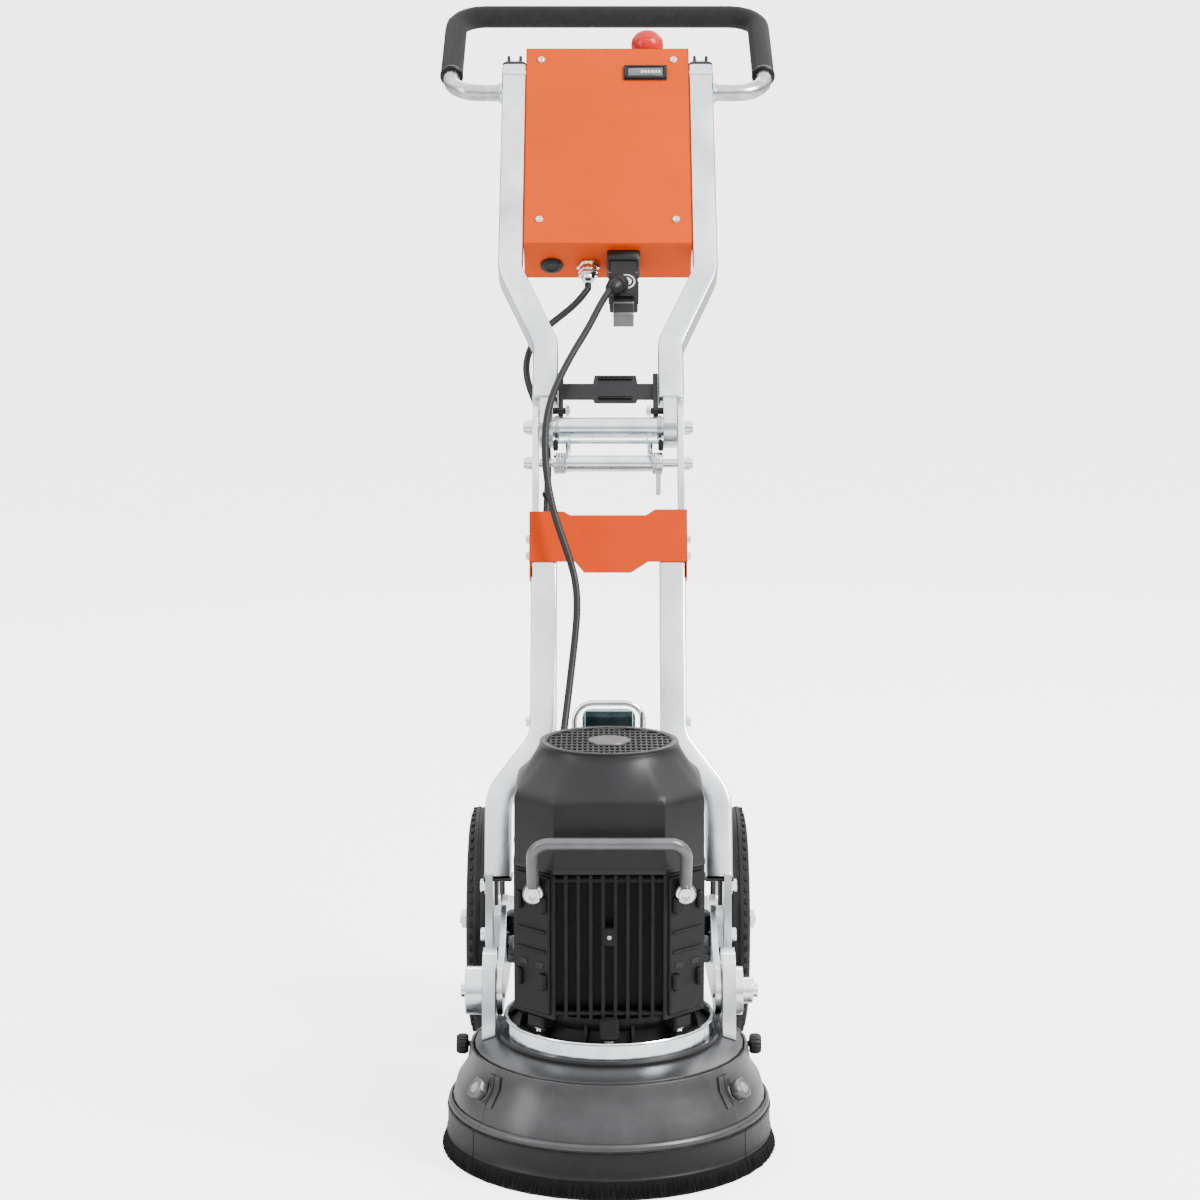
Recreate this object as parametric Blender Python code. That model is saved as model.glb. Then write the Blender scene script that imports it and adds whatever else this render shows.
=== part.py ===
"""Single-disc floor grinder for concrete: a grinding head on a round hood, a wheeled chassis,
and a folding two-part handle frame that carries the control box.

Metres, +Z up. Lengths along Y are given behind the disc axis, and the head's empty, on which
everything hangs, puts the middle of the machine's footprint on the origin. Left is -X.
"""

import math

import bmesh
import bpy
from mathutils import Matrix, Vector

# Driving dimensions
GAP = 0.0003
SIDES = ((-1, "left"), (1, "right"))

BRUSH_R = 0.178

HOOD_R = 0.1445
HOOD_TOP_Z = 0.1210
DISC_R = 0.1380
SHAFT_R = 0.0120
SKIRT_JOIN_DEG = 52.0
STRIP_JOIN_DEG = 55.0
PIN_DEG = 57.5

MOTOR_HALF = 0.0995
MOTOR_FACET = MOTOR_HALF * math.tan(math.radians(30))
HOUSING_Z = (0.1660, 0.3195)
COWL_Z = (0.3203, 0.3980, 0.4395)
COWL_TOP_R = 0.0735
FINS_PER_SIDE = 10

HEAD_PIVOT = (0.030, 0.159)
AXLE = (0.406, 0.135)
WHEEL_R = 0.135
WHEEL_X = (0.1285, 0.1665)

TUBE = 0.030
TUBE_WALL = 0.002
TUBE_CORNER = 0.004
FOOT = (0.193, 0.241)
LOWER_LEAN = math.radians(22.2)
UPPER_LEAN = math.radians(40.0)
FOLD_PIVOT = (0.394, 0.733)
LOCK_BAR = (0.376, 0.693)
FOOT_X = 0.125
WAIST_X = 0.0745
TOP_X = 0.1185
FOLD_PLATE_X = (0.0815, 0.0885)
TONGUE_X = (0.0650, 0.0805)
LEVER_H = 0.024

BOX_X = 0.103
BOX_H = (0.2640, 0.5780)
BOX_F = (-0.0560, 0.0100)
BOX_WALL = 0.002
COVER_F = 0.0123

HANDLE_H = 0.515
HANDLE_RISE = math.radians(27)
HANDLE_X = 0.2000
HANDLE_LEG = 0.2300
HANDLE_R = 0.0105
GRIP_R = 0.0145
CABLE_R = 0.0042

DUST_Z = 0.085
KNOB_AT = (0.020, 0.1025)
PIN_R = 0.1559
PIN_Z = 0.0840
PIN_RISE = math.radians(33)

ESTOP_X, ESTOP_F = 0.0514, -0.0150
START_X, START_H = 0.0300, 0.5000
GLAND_X, GLAND_F = -0.0243, -0.0300
CONNECTOR_MOUTH = (0.0150, 0.2150, -0.0030)
CONNECTOR_AIM = (-0.55, -0.75, -0.35)

# The leads' routes, which lie along the frame
MOTOR_LEAD_UPPER = [
    (0.0036, 0.5189, 0.8885), (-0.0016, 0.5119, 0.8852), (-0.0082, 0.5020, 0.8790), (-0.0130, 0.4900, 0.8670),
    (-0.0200, 0.4710, 0.8480), (-0.0334, 0.4500, 0.8323),
    (-0.0498, 0.4250, 0.8044), (-0.0614, 0.4000, 0.7824),
    (-0.0705, 0.3760, 0.7605), (-0.0735, 0.3580, 0.7387),
    (-0.0745, 0.3450, 0.7111), (-0.0722, 0.3340, 0.6834),
    (-0.0674, 0.3230, 0.6557), (-0.0604, 0.3100, 0.6335),
    (-0.0487, 0.2950, 0.6033), (-0.0383, 0.2850, 0.5792),
    (-0.0337, 0.2740, 0.5518), (-0.0359, 0.2620, 0.5247),
]
MOTOR_LEAD_LOWER = [
    (-0.0362, 0.2612, 0.5240), (-0.0403, 0.2450, 0.4873),
    (-0.0447, 0.2260, 0.4506), (-0.0490, 0.2030, 0.4187),
    (-0.0540, 0.1780, 0.3803), (-0.0520, 0.1540, 0.3480),
    (-0.0440, 0.1340, 0.3230), (-0.0420, 0.1300, 0.3130),
    (-0.0420, 0.1300, 0.3006),
]
SUPPLY_LEAD = [
    (-0.0243, 0.5700, 0.8930), (-0.0250, 0.5610, 0.8825),
    (-0.0330, 0.5540, 0.8700), (-0.0520, 0.5480, 0.8580),
    (-0.0720, 0.5460, 0.8470), (-0.0870, 0.5380, 0.8350),
    (-0.0975, 0.5200, 0.8181), (-0.1010, 0.4950, 0.7960),
    (-0.0965, 0.4680, 0.7750), (-0.0850, 0.4490, 0.7560),
    (-0.0740, 0.4330, 0.7320), (-0.0710, 0.4170, 0.7020),
    (-0.0710, 0.4020, 0.6700), (-0.0720, 0.3870, 0.6380),
    (-0.0740, 0.3740, 0.6100), (-0.0745, 0.3600, 0.5800),
    (-0.0745, 0.3490, 0.5560), (-0.0745, 0.3368, 0.5420),
]

# Worked out from the dimensions above
HANDLE_TOP = HANDLE_H * math.sin(UPPER_LEAN) + HANDLE_LEG * math.cos(HANDLE_RISE)
HANDLE_REAR = FOLD_PIVOT[0] + HANDLE_TOP + GRIP_R
DISC_AXIS_Y = (BRUSH_R - HANDLE_REAR) / 2
LOCK_RISE = LOCK_BAR[1] - FOOT[1]
LOCK_RUN = LOCK_BAR[0] - FOOT[0]
LOCK_F = LOCK_RISE * math.sin(LOWER_LEAN) - LOCK_RUN * math.cos(LOWER_LEAN)


# Places

def lower_frame(x, h, f):
    """A point h up the lower frame from its foot and f in front of its tubes' middle plane."""
    s, c = math.sin(LOWER_LEAN), math.cos(LOWER_LEAN)
    return Vector((x, FOOT[0] + h * s - f * c, FOOT[1] + h * c + f * s))


def upper_frame(x, h, f):
    """A point h up the upper frame from the fold and f in front of its tubes' middle plane."""
    s, c = math.sin(UPPER_LEAN), math.cos(UPPER_LEAN)
    return Vector((x, FOLD_PIVOT[0] + h * s - f * c, FOLD_PIVOT[1] + h * c + f * s))


def side_plate(y, z, x):
    """A point of a plate whose outline is drawn in side view."""
    return Vector((x, y, z))


def in_plan(x, y, z):
    """A point of a piece whose outline is drawn in plan."""
    return Vector((x, y, z))


def aimed(origin, direction):
    """The matrix that puts the origin at a point and turns +Z to a direction."""
    turn = Vector((0, 0, 1)).rotation_difference(Vector(direction).normalized())
    return Matrix.Translation(origin) @ turn.to_matrix().to_4x4()


def mirrored(side, low, high):
    """A span of |x| on one side of the machine, lower end first."""
    return (low, high) if side > 0 else (-high, -low)


# Mesh building

def loft(rings, ring_of_rings=False):
    """One closed mesh through rings of equal length, capped at both ends or joined round."""
    bm = bmesh.new()
    loops = [[bm.verts.new(point) for point in ring] for ring in rings]
    pairs = list(zip(loops, loops[1:]))
    if ring_of_rings:
        pairs.append((loops[-1], loops[0]))
    for first, second in pairs:
        for k in range(len(first)):
            after = (k + 1) % len(first)
            bm.faces.new((first[k], first[after], second[after], second[k]))
    if not ring_of_rings:
        bm.faces.new(loops[0])
        bm.faces.new(loops[-1])
    bmesh.ops.recalc_face_normals(bm, faces=bm.faces)
    mesh = bpy.data.meshes.new("shape")
    bm.to_mesh(mesh)
    bm.free()
    mesh.shade_smooth()
    mesh.set_sharp_from_angle(angle=math.radians(35))
    return mesh


def circle(radius, z, steps):
    turns = [2 * math.pi * k / steps for k in range(steps)]
    return [Vector((radius * math.cos(t), radius * math.sin(t), z)) for t in turns]


def turned(profile, steps=24):
    """A solid of revolution about Z: flat ends, (radius, z) from one end to the other."""
    return loft([circle(r, z, steps) for r, z in profile])


def turned_ring(profile, steps=36, start=0.0, end=360.0):
    """A closed (radius, z) outline turned about Z, all the way or over a sector."""
    whole = end - start > 359.9
    count = steps if whole else steps + 1
    rings = []
    for k in range(count):
        t = math.radians(start + (end - start) * k / steps)
        rings.append([Vector((r * math.cos(t), r * math.sin(t), z)) for r, z in profile])
    return loft(rings, whole)


def extruded(outline, low, high, place):
    """A flat outline of (a, b) made solid from low to high along the third direction."""
    return loft([[place(a, b, c) for a, b in outline] for c in (low, high)])


def block(a, b, c, place):
    """A box given by its three spans in one of the machine's frames."""
    outline = [(a[0], b[0]), (a[1], b[0]), (a[1], b[1]), (a[0], b[1])]
    return extruded(outline, c[0], c[1], place)


def upper_block(x, h, f):
    return block(x, h, f, upper_frame)


def arc(centre, radius, start, end, steps):
    """Points on a circle's arc, angles in degrees."""
    points = []
    for k in range(steps + 1):
        t = math.radians(start + (end - start) * k / steps)
        points.append((centre[0] + radius * math.cos(t), centre[1] + radius * math.sin(t)))
    return points


def square_section(width, corner, steps=2):
    """A square with rounded corners, about its own middle."""
    reach = width / 2 - corner
    points = []
    for k, (a, b) in enumerate(((1, 1), (-1, 1), (-1, -1), (1, -1))):
        points += arc((a * reach, b * reach), corner, 90 * k, 90 * k + 90, steps)
    return points


def round_section(radius, sides):
    return arc((0, 0), radius, 0, 360 * (sides - 1) / sides, sides - 1)


def rounded_path(points, radius, steps=5):
    """A polyline whose inner corners are arcs of one radius."""
    points = [Vector(p) for p in points]
    path = [points[0]]
    for before, corner, after in zip(points, points[1:], points[2:]):
        back = (before - corner).normalized()
        ahead = (after - corner).normalized()
        half = back.angle(ahead) / 2
        middle = corner + (back + ahead).normalized() * (radius / math.sin(half))
        first = (corner + back * (radius / math.tan(half)) - middle).normalized()
        last = (corner + ahead * (radius / math.tan(half)) - middle).normalized()
        for k in range(steps + 1):
            path.append(middle + first.slerp(last, k / steps) * radius)
    path.append(points[-1])
    return path


def path_frames(path, normal):
    """At each point of a flat path: the point, the sideways vector with its mitre, and the normal."""
    normal = Vector(normal).normalized()
    frames = []
    for k, point in enumerate(path):
        before = (point - path[k - 1]).normalized() if k else (path[1] - point).normalized()
        after = (path[k + 1] - point).normalized() if k + 1 < len(path) else before
        along = (before + after).normalized()
        frames.append((point, along.cross(normal) / along.dot(after), normal))
    return frames


def swept(path, section, normal, hole=None):
    """A section carried along a flat path, solid, or hollow with open ends."""
    frames = path_frames(path, normal)
    rings = [[p + side * a + up * b for a, b in section] for p, side, up in frames]
    if not hole:
        return loft(rings)
    inside = [[p + side * a + up * b for a, b in hole] for p, side, up in frames]
    return loft(rings + inside[::-1], True)


def material(name, colour, roughness, metallic=0.0):
    shade = bpy.data.materials.new(name)
    shade.use_nodes = True
    shader = shade.node_tree.nodes["Principled BSDF"]
    shader.inputs["Base Color"].default_value = (*colour, 1.0)
    shader.inputs["Roughness"].default_value = roughness
    shader.inputs["Metallic"].default_value = metallic
    return shade


# Objects

def body(name, parent=None, pivot=(0.0, 0.0, 0.0)):
    """An empty on a joint's axis; the pieces that move together hang on it."""
    empty = bpy.data.objects.new(name + "_body", None)
    bpy.context.collection.objects.link(empty)
    empty["pivot"] = pivot
    empty.location = pivot
    if parent:
        empty.parent = parent
        empty.location = Vector(pivot) - Vector(parent["pivot"])
    return empty


def part(name, mesh, shade, owner):
    """A named piece whose mesh is drawn in the machine's frame."""
    mesh.name = name
    mesh.materials.clear()
    mesh.materials.append(shade)
    piece = bpy.data.objects.new(name, mesh)
    bpy.context.collection.objects.link(piece)
    piece.parent = owner
    piece.location = -Vector(owner["pivot"])
    return piece


def combine(piece, mesh, operation):
    """Joins a mesh to a piece or cuts it away; the tool object stays hidden."""
    tool = bpy.data.objects.new(piece.name + "_tool", mesh)
    bpy.context.collection.objects.link(tool)
    tool.parent = piece
    tool.hide_render = True
    tool.display_type = "WIRE"
    change = piece.modifiers.new(operation.lower(), "BOOLEAN")
    change.operation = operation
    change.solver = "EXACT"
    change.object = tool
    return piece


def join(piece, mesh):
    return combine(piece, mesh, "UNION")


def cut(piece, mesh):
    return combine(piece, mesh, "DIFFERENCE")


def bevelled(piece, width, segments=2):
    edge = piece.modifiers.new("edge", "BEVEL")
    edge.width = width
    edge.segments = segments
    edge.limit_method = "ANGLE"
    edge.angle_limit = math.radians(40)
    return piece


def rod(points_on_axis, radius, steps=12):
    """A plain round bar between two points."""
    start, end = (Vector(p) for p in points_on_axis)
    mesh = turned([(radius, 0.0), (radius, (end - start).length)], steps)
    mesh.transform(aimed(start, end - start))
    return mesh


def turned_along(profile, origin, direction, steps=16):
    """A solid of revolution whose axis runs from an origin along a direction."""
    mesh = turned(profile, steps)
    mesh.transform(aimed(origin, direction))
    return mesh


def cable(name, route, shade, owner):
    """A round lead through hand-placed points, smoothed, with a point about every two diameters."""
    route = [Vector(p) for p in route]
    ends = [route[0] * 2 - route[1]] + route + [route[-1] * 2 - route[-2]]
    points = []
    for a, b, c, d in zip(ends, ends[1:], ends[2:], ends[3:]):
        count = max(1, round((c - b).length / (4.5 * CABLE_R)))
        for k in range(count):
            t = k / count
            ease = 2 * b + (c - a) * t + (2 * a - 5 * b + 4 * c - d) * t**2
            points.append((ease + (3 * b - a - 3 * c + d) * t**3) / 2)
    points.append(route[-1])
    curve = bpy.data.curves.new(name, "CURVE")
    curve.dimensions = "3D"
    curve.bevel_depth = CABLE_R
    curve.bevel_resolution = 2
    curve.use_fill_caps = True
    spline = curve.splines.new("POLY")
    spline.points.add(len(points) - 1)
    for slot, point in zip(spline.points, points):
        slot.co = (*point, 1.0)
    curve.materials.append(shade)
    lead = bpy.data.objects.new(name, curve)
    bpy.context.collection.objects.link(lead)
    lead.parent = owner
    lead.location = -Vector(owner["pivot"])


# Grinding head

def skirt_profile(inset):
    """The flared skirt's outer line, top to bottom, moved inwards."""
    line = [(0.1485, 0.1115), (0.1515, 0.0905), (0.1630, 0.0734), (0.1686, 0.0495)]
    return [(r - inset, z) for r, z in line]


def round_wall(start_deg, end_deg, steps):
    """A sector of the skirt; 0 degrees is the front, seen from above."""
    outline = skirt_profile(0.0) + skirt_profile(0.0030)[::-1]
    return turned_ring(outline, steps, start_deg - 90, end_deg - 90)


def strip_brush(start_deg, end_deg, steps):
    """A holder rail with its bristles, hung under the skirt's lip."""
    outline = [
        (0.1655, 0.0490), (0.1715, 0.0490), (0.1720, 0.0178),
        (BRUSH_R, 0.0), (0.1660, 0.0), (0.1655, 0.0178),
    ]
    return turned_ring(outline, steps, start_deg - 90, end_deg - 90)


def build_hood(owner, paint):
    outline = [
        (0.0500, HOOD_TOP_Z), (0.1195, HOOD_TOP_Z), (0.1435, 0.1130), (HOOD_R, 0.1080),
        (HOOD_R, 0.0600), (0.1415, 0.0600), (0.1415, 0.1065), (0.1180, 0.1165), (0.0500, 0.1165),
    ]
    hood = part("hood", turned_ring(outline), paint, owner)
    cut(hood, rod([(0, 0.10, DUST_Z), (0, 0.20, DUST_Z)], 0.0205, 24))


def build_dust_port(owner, paint):
    outline = [
        (0.0210, 0.0), (0.0235, 0.0), (0.0235, 0.0780), (0.0250, 0.0800), (0.0250, 0.0860), (0.0210, 0.0860),
    ]
    port = turned_ring(outline, 24)
    port.transform(aimed((0, 0.1455, DUST_Z), (0, 1, 0)))
    part("dust_port", port, paint, owner)


def pin_axis(side):
    """Where a release pin crosses the skirt, and the outward direction square to the slope."""
    t = math.radians(PIN_DEG)
    outward = Vector((side * math.sin(t), -math.cos(t), 0))
    base = outward * PIN_R + Vector((0, 0, PIN_Z))
    return base, (outward * math.cos(PIN_RISE) + Vector((0, 0, math.sin(PIN_RISE)))).normalized()


def build_rear_skirt(owner, paint, strip):
    joint = 0.15
    wall = round_wall(SKIRT_JOIN_DEG + joint, 360 - SKIRT_JOIN_DEG - joint, 28)
    skirt = part("rear_skirt", wall, paint, owner)
    cut(skirt, rod([(0, 0.12, DUST_Z), (0, 0.20, DUST_Z)], 0.0238, 24))
    for side, _ in SIDES:
        base, outward = pin_axis(side)
        cut(skirt, rod([base - outward * 0.012, base + outward * 0.012], 0.0044, 12))
        cut(skirt, rod([(side * 0.130, *KNOB_AT), (side * 0.170, *KNOB_AT)], 0.0036, 12))
    brush = strip_brush(STRIP_JOIN_DEG + joint, 360 - STRIP_JOIN_DEG - joint, 28)
    part("rear_brush_strip", brush, strip, owner)


def build_front_skirt(head, paint, strip):
    owner = body("front_skirt", head)
    part("front_skirt", round_wall(-SKIRT_JOIN_DEG, SKIRT_JOIN_DEG, 12), paint, owner)
    part("front_brush_strip", strip_brush(-STRIP_JOIN_DEG, STRIP_JOIN_DEG, 12), strip, owner)


def build_skirt_fasteners(head, steel, plastic):
    for side, name in SIDES:
        base, outward = pin_axis(side)
        profile = [(0.0040, -0.0060), (0.0040, 0.0040), (0.0095, 0.0040), (0.0095, 0.0125)]
        pin = turned_along(profile, base, outward, 12)
        part(f"release_pin_{name}", pin, steel, body(f"release_pin_{name}", head, tuple(base)))
        start = Vector((side * 0.1450, *KNOB_AT))
        profile = [
            (0.0032, 0.0), (0.0032, 0.0064), (0.0085, 0.0064),
            (0.0100, 0.0090), (0.0100, 0.0165), (0.0085, 0.0190),
        ]
        knob = turned_along(profile, start, (side, 0, 0), 16)
        part(f"side_knob_{name}", knob, plastic, body(f"side_knob_{name}", head, tuple(start)))


def build_band_ring(owner, zinc):
    low = HOOD_TOP_Z + GAP
    outline = [(0.1085, low), (0.1110, low), (0.1110, 0.1420), (0.1085, 0.1420)]
    part("band_ring", turned_ring(outline), zinc, owner)


# Motor

def octagon_radius(angle, half, facet):
    """How far an eight-sided outline reaches at an angle; facet is half its flat front."""
    c, s = abs(math.cos(angle)), abs(math.sin(angle))
    return min(half / max(c, s), (half + facet) / (c + s))


def octagon(half, facet, z, steps=24):
    points = []
    for k in range(steps):
        t = 2 * math.pi * k / steps
        r = octagon_radius(t, half, facet)
        points.append(Vector((r * math.cos(t), r * math.sin(t), z)))
    return points


def finned_outline():
    """The motor housing's plan: fins on the four flat sides, plain slopes between them."""
    pitch = 2 * MOTOR_FACET / (FINS_PER_SIDE - 1)
    half_fin = 0.0018
    root = 0.0830
    points = []
    for quarter in range(4):
        turn = Matrix.Rotation(math.radians(90 * quarter), 2)
        for k in range(FINS_PER_SIDE):
            middle = -MOTOR_FACET + pitch * k
            left, right = middle - half_fin, middle + half_fin
            edges = [(left, root), (left, MOTOR_HALF), (right, MOTOR_HALF), (right, root)]
            if k == 0:
                edges = edges[1:]
                edges[0] = (-MOTOR_FACET, MOTOR_HALF)
            if k == FINS_PER_SIDE - 1:
                edges = edges[:-1]
                edges[-1] = (MOTOR_FACET, MOTOR_HALF)
            points += [turn @ Vector((a, -b)) for a, b in edges]
    return points


def build_motor(owner, cast, black, copper, steel):
    bell = [
        (0.0128, HOOD_TOP_Z + GAP), (0.1045, HOOD_TOP_Z + GAP), (0.1045, 0.1300), (0.0930, 0.1345),
        (0.0880, 0.1500), (0.0950, 0.1600), (0.0950, 0.1655),
        (0.0233, 0.1655), (0.0233, 0.1480), (0.0128, 0.1480),
    ]
    part("motor_flange", turned_ring(bell), cast, owner)
    housing = extruded(finned_outline(), HOUSING_Z[0], HOUSING_Z[1], in_plan)
    housing = part("motor_housing", housing, cast, owner)
    cut(housing, turned([(0.0665, 0.150), (0.0665, 0.2970), (0.0233, 0.2970), (0.0233, 0.330)], 24))
    coils = turned_ring([(0.0455, 0.185), (0.0662, 0.185), (0.0662, 0.292), (0.0455, 0.292)], 24)
    part("stator", coils, copper, owner)
    for name, low in (("lower_bearing", 0.1483), ("upper_bearing", 0.3000)):
        ring = [(0.0123, low), (0.0230, low), (0.0230, low + 0.0145), (0.0123, low + 0.0145)]
        part(name, turned_ring(ring, 18), steel, owner)
    terminal = block((-0.055, 0.055), (MOTOR_HALF + GAP, 0.148), (0.200, 0.300), in_plan)
    bevelled(part("terminal_box", terminal, black, owner), 0.004)


def build_cowl(owner, plastic):
    """A thin eight-sided cover that closes to a round slotted grille over the fan."""
    wall = 0.0030
    low, shoulder, top = COWL_Z
    inside = [
        circle(COWL_TOP_R - wall, top - wall, 24),
        octagon(MOTOR_HALF - wall, MOTOR_FACET, shoulder - wall / 2),
        octagon(MOTOR_HALF - wall, MOTOR_FACET, low),
    ]
    outside = [
        octagon(MOTOR_HALF, MOTOR_FACET, low), octagon(MOTOR_HALF, MOTOR_FACET, shoulder),
        circle(COWL_TOP_R, top, 24),
    ]
    cowl = part("fan_cowl", loft(inside + outside), plastic, owner)
    slots = 9
    reach = 0.0650
    for k in range(slots):
        y = -reach * 0.88 + 2 * reach * 0.88 * k / (slots - 1)
        end = math.sqrt(reach**2 - y**2)
        start = math.sqrt(max(0.022**2 - y**2, 0.002**2))
        for side, _ in SIDES:
            span = mirrored(side, start, end)
            cut(cowl, block(span, (y - 0.0045, y + 0.0045), (top - 0.010, top + 0.010), in_plan))


def build_motor_handles(owner, grey, zinc):
    x = 0.0785
    points = [(-x, -0.0885, 0.3000), (-x, -0.1200, 0.3580), (x, -0.1200, 0.3580), (x, -0.0885, 0.3000)]
    lean = Vector((0, 0.0580, 0.0315))
    part("front_handle", swept(rounded_path(points, 0.018), round_section(0.0065, 12), lean), grey, owner)
    plate = arc((-0.0200, 0.4450), 0.0090, 180, 90, 4) + arc((0.0200, 0.4450), 0.0090, 90, 0, 4)
    plate = [(-0.0290, 0.3030)] + plate + [(0.0290, 0.3030)]
    bracket = extruded(plate, MOTOR_HALF + GAP, 0.1040, lambda a, b, c: Vector((a, c, b)))
    bracket = part("lifting_handle", bracket, zinc, owner)
    join(bracket, block((-0.0415, 0.0415), (0.1010, 0.1140), (0.3260, 0.3400), in_plan))
    x, y, low, high = 0.0375, 0.1100, 0.3350, 0.4590
    points = [(-x, y, low), (-x, y, high), (x, y, high), (x, y, low)]
    join(bracket, swept(rounded_path(points, 0.020), round_section(0.0032, 10), (0, 1, 0)))


def build_rotor(head, steel, dark):
    owner = body("rotor", head)
    shaft = [
        (SHAFT_R, 0.0455), (SHAFT_R, 0.190), (0.0420, 0.190),
        (0.0420, 0.285), (SHAFT_R, 0.285), (SHAFT_R, 0.356),
    ]
    part("rotor_shaft", turned(shaft, 24), steel, owner)
    blades = 8
    fan = []
    for k in range(blades):
        for r, offset in ((0.024, -17), (0.068, -6), (0.068, 6), (0.024, 17)):
            t = math.radians(360 * k / blades + offset)
            fan.append((r * math.cos(t), r * math.sin(t)))
    fan = part("cooling_fan", extruded(fan, 0.330, 0.350, in_plan), dark, owner)
    cut(fan, turned([(0.0123, 0.32), (0.0123, 0.36)], 24))
    holder = turned([(0.110, 0.0253), (0.110, 0.0330), (0.034, 0.0330), (0.034, 0.0700)], 32)
    cut(part("tool_holder", holder, steel, owner), turned([(0.0123, 0.0450), (0.0123, 0.08)], 24))
    disc = part("grinding_disc", turned([(DISC_R, 0.0150), (DISC_R, 0.0250)], 36), dark, owner)
    for k in range(3):
        segment = [(0.096, 0.0), (0.130, 0.0), (0.130, 0.0155), (0.096, 0.0155)]
        join(disc, turned_ring(segment, 5, 120 * k - 14, 120 * k + 14))


# Chassis

def build_head_brackets(owner, zinc):
    y, z = HEAD_PIVOT
    outline = [(y - 0.042, 0.1122), (y - 0.040, 0.145)] + arc((y - 0.010, 0.1885), 0.015, 160, 90, 4)
    outline += arc((y + 0.010, 0.1885), 0.015, 90, 20, 4) + [(y + 0.036, 0.145), (y + 0.038, 0.1122)]
    clear = HOOD_R + 2 * GAP
    hood_top = [(clear, 0.05), (clear, 0.1087), (0.1437, 0.1137), (0.1197, HOOD_TOP_Z + 2 * GAP)]
    for side, name in SIDES:
        low, high = mirrored(side, 0.1215, 0.1355)
        bracket = part(f"head_bracket_{name}", extruded(outline, low, high, side_plate), zinc, owner)
        cut(bracket, turned(hood_top, 36))
        cut(bracket, rod([(low - 0.01, y, z), (high + 0.01, y, z)], 0.0083, 20))


def build_pivot_pins(owner, zinc):
    y, z = HEAD_PIVOT
    for side, name in SIDES:
        cap = 0.0260 if side < 0 else 0.0140
        end = 0.0535 if side < 0 else 0.0545
        profile = [
            (0.0080, 0.0), (0.0080, 0.0240), (0.0260, 0.0240), (0.0260, 0.0320),
            (cap, 0.0320), (cap, end - 0.0120), (cap - 0.001, end - 0.0110),
        ]
        pin = turned_along(profile, (side * 0.1120, y, z), (side, 0, 0), 24)
        part(f"pivot_pin_{name}", pin, zinc, owner)


def build_chassis_plates(owner, zinc):
    outline = arc(HEAD_PIVOT, 0.026, 262, 90, 8)
    outline += [(0.105, 0.190), (0.158, 0.216), (0.216, 0.216), (0.262, 0.184)]
    outline += arc(AXLE, 0.028, 75, -90, 8) + [(0.300, 0.107), (0.150, 0.122), (0.092, 0.130)]
    for side, name in SIDES:
        low, high = mirrored(side, 0.1140, 0.1205)
        plate = part(f"chassis_plate_{name}", extruded(outline, low, high, side_plate), zinc, owner)
        foot = mirrored(side, 0.1195, 0.1298)
        join(plate, block((0.172, 0.212), (0.166, 0.204), foot, side_plate))
        cut(plate, rod([(side * 0.10, *HEAD_PIVOT), (side * 0.13, *HEAD_PIVOT)], 0.0083, 20))
        cut(plate, rod([(side * 0.10, *AXLE), (side * 0.13, *AXLE)], 0.0103, 20))
    part("axle", rod([(-0.1690, *AXLE), (0.1690, *AXLE)], 0.0100, 20), zinc, owner)
    part("cross_member", rod([(-0.1137, 0.270, 0.160), (0.1137, 0.270, 0.160)], 0.0125, 20), zinc, owner)


def build_wheels(chassis, rubber, zinc):
    width = WHEEL_X[1] - WHEEL_X[0]
    tread = [
        (0.1000, 0.0060), (0.1180, 0.0), (0.1290, 0.0020), (WHEEL_R, 0.0080), (WHEEL_R, width - 0.0080),
        (0.1290, width - 0.0020), (0.1180, width), (0.1000, width - 0.0060),
    ]
    disc = [
        (0.0104, 0.0020), (0.0300, 0.0020), (0.0320, 0.0160), (0.0860, 0.0160), (0.0997, 0.0060),
        (0.0997, width - 0.0060), (0.0860, 0.0220), (0.0320, 0.0220),
        (0.0300, width - 0.0020), (0.0104, width - 0.0020),
    ]
    for side, name in SIDES:
        owner = body(f"wheel_{name}", chassis, (side * WHEEL_X[0], *AXLE))
        for label, profile, shade in (("tyre", tread, rubber), ("rim", disc, zinc)):
            mesh = turned_ring(profile, 28)
            mesh.transform(aimed((side * WHEEL_X[0], *AXLE), (side, 0, 0)))
            part(f"{label}_{name}", mesh, shade, owner)


# Lower frame

def frame_tube(stations, place, normal):
    """A hollow square tube through (x, h) stations in one frame's plane."""
    path = rounded_path([place(x, h, 0) for x, h in stations], 0.045, 3)
    hole = square_section(TUBE - 2 * TUBE_WALL, TUBE_CORNER - TUBE_WALL)
    return swept(path, square_section(TUBE, TUBE_CORNER), normal, hole)


def height_on(place_foot, lean, z):
    """How far up a leaning frame a level lies."""
    return (z - place_foot[1]) / math.cos(lean)


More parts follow.
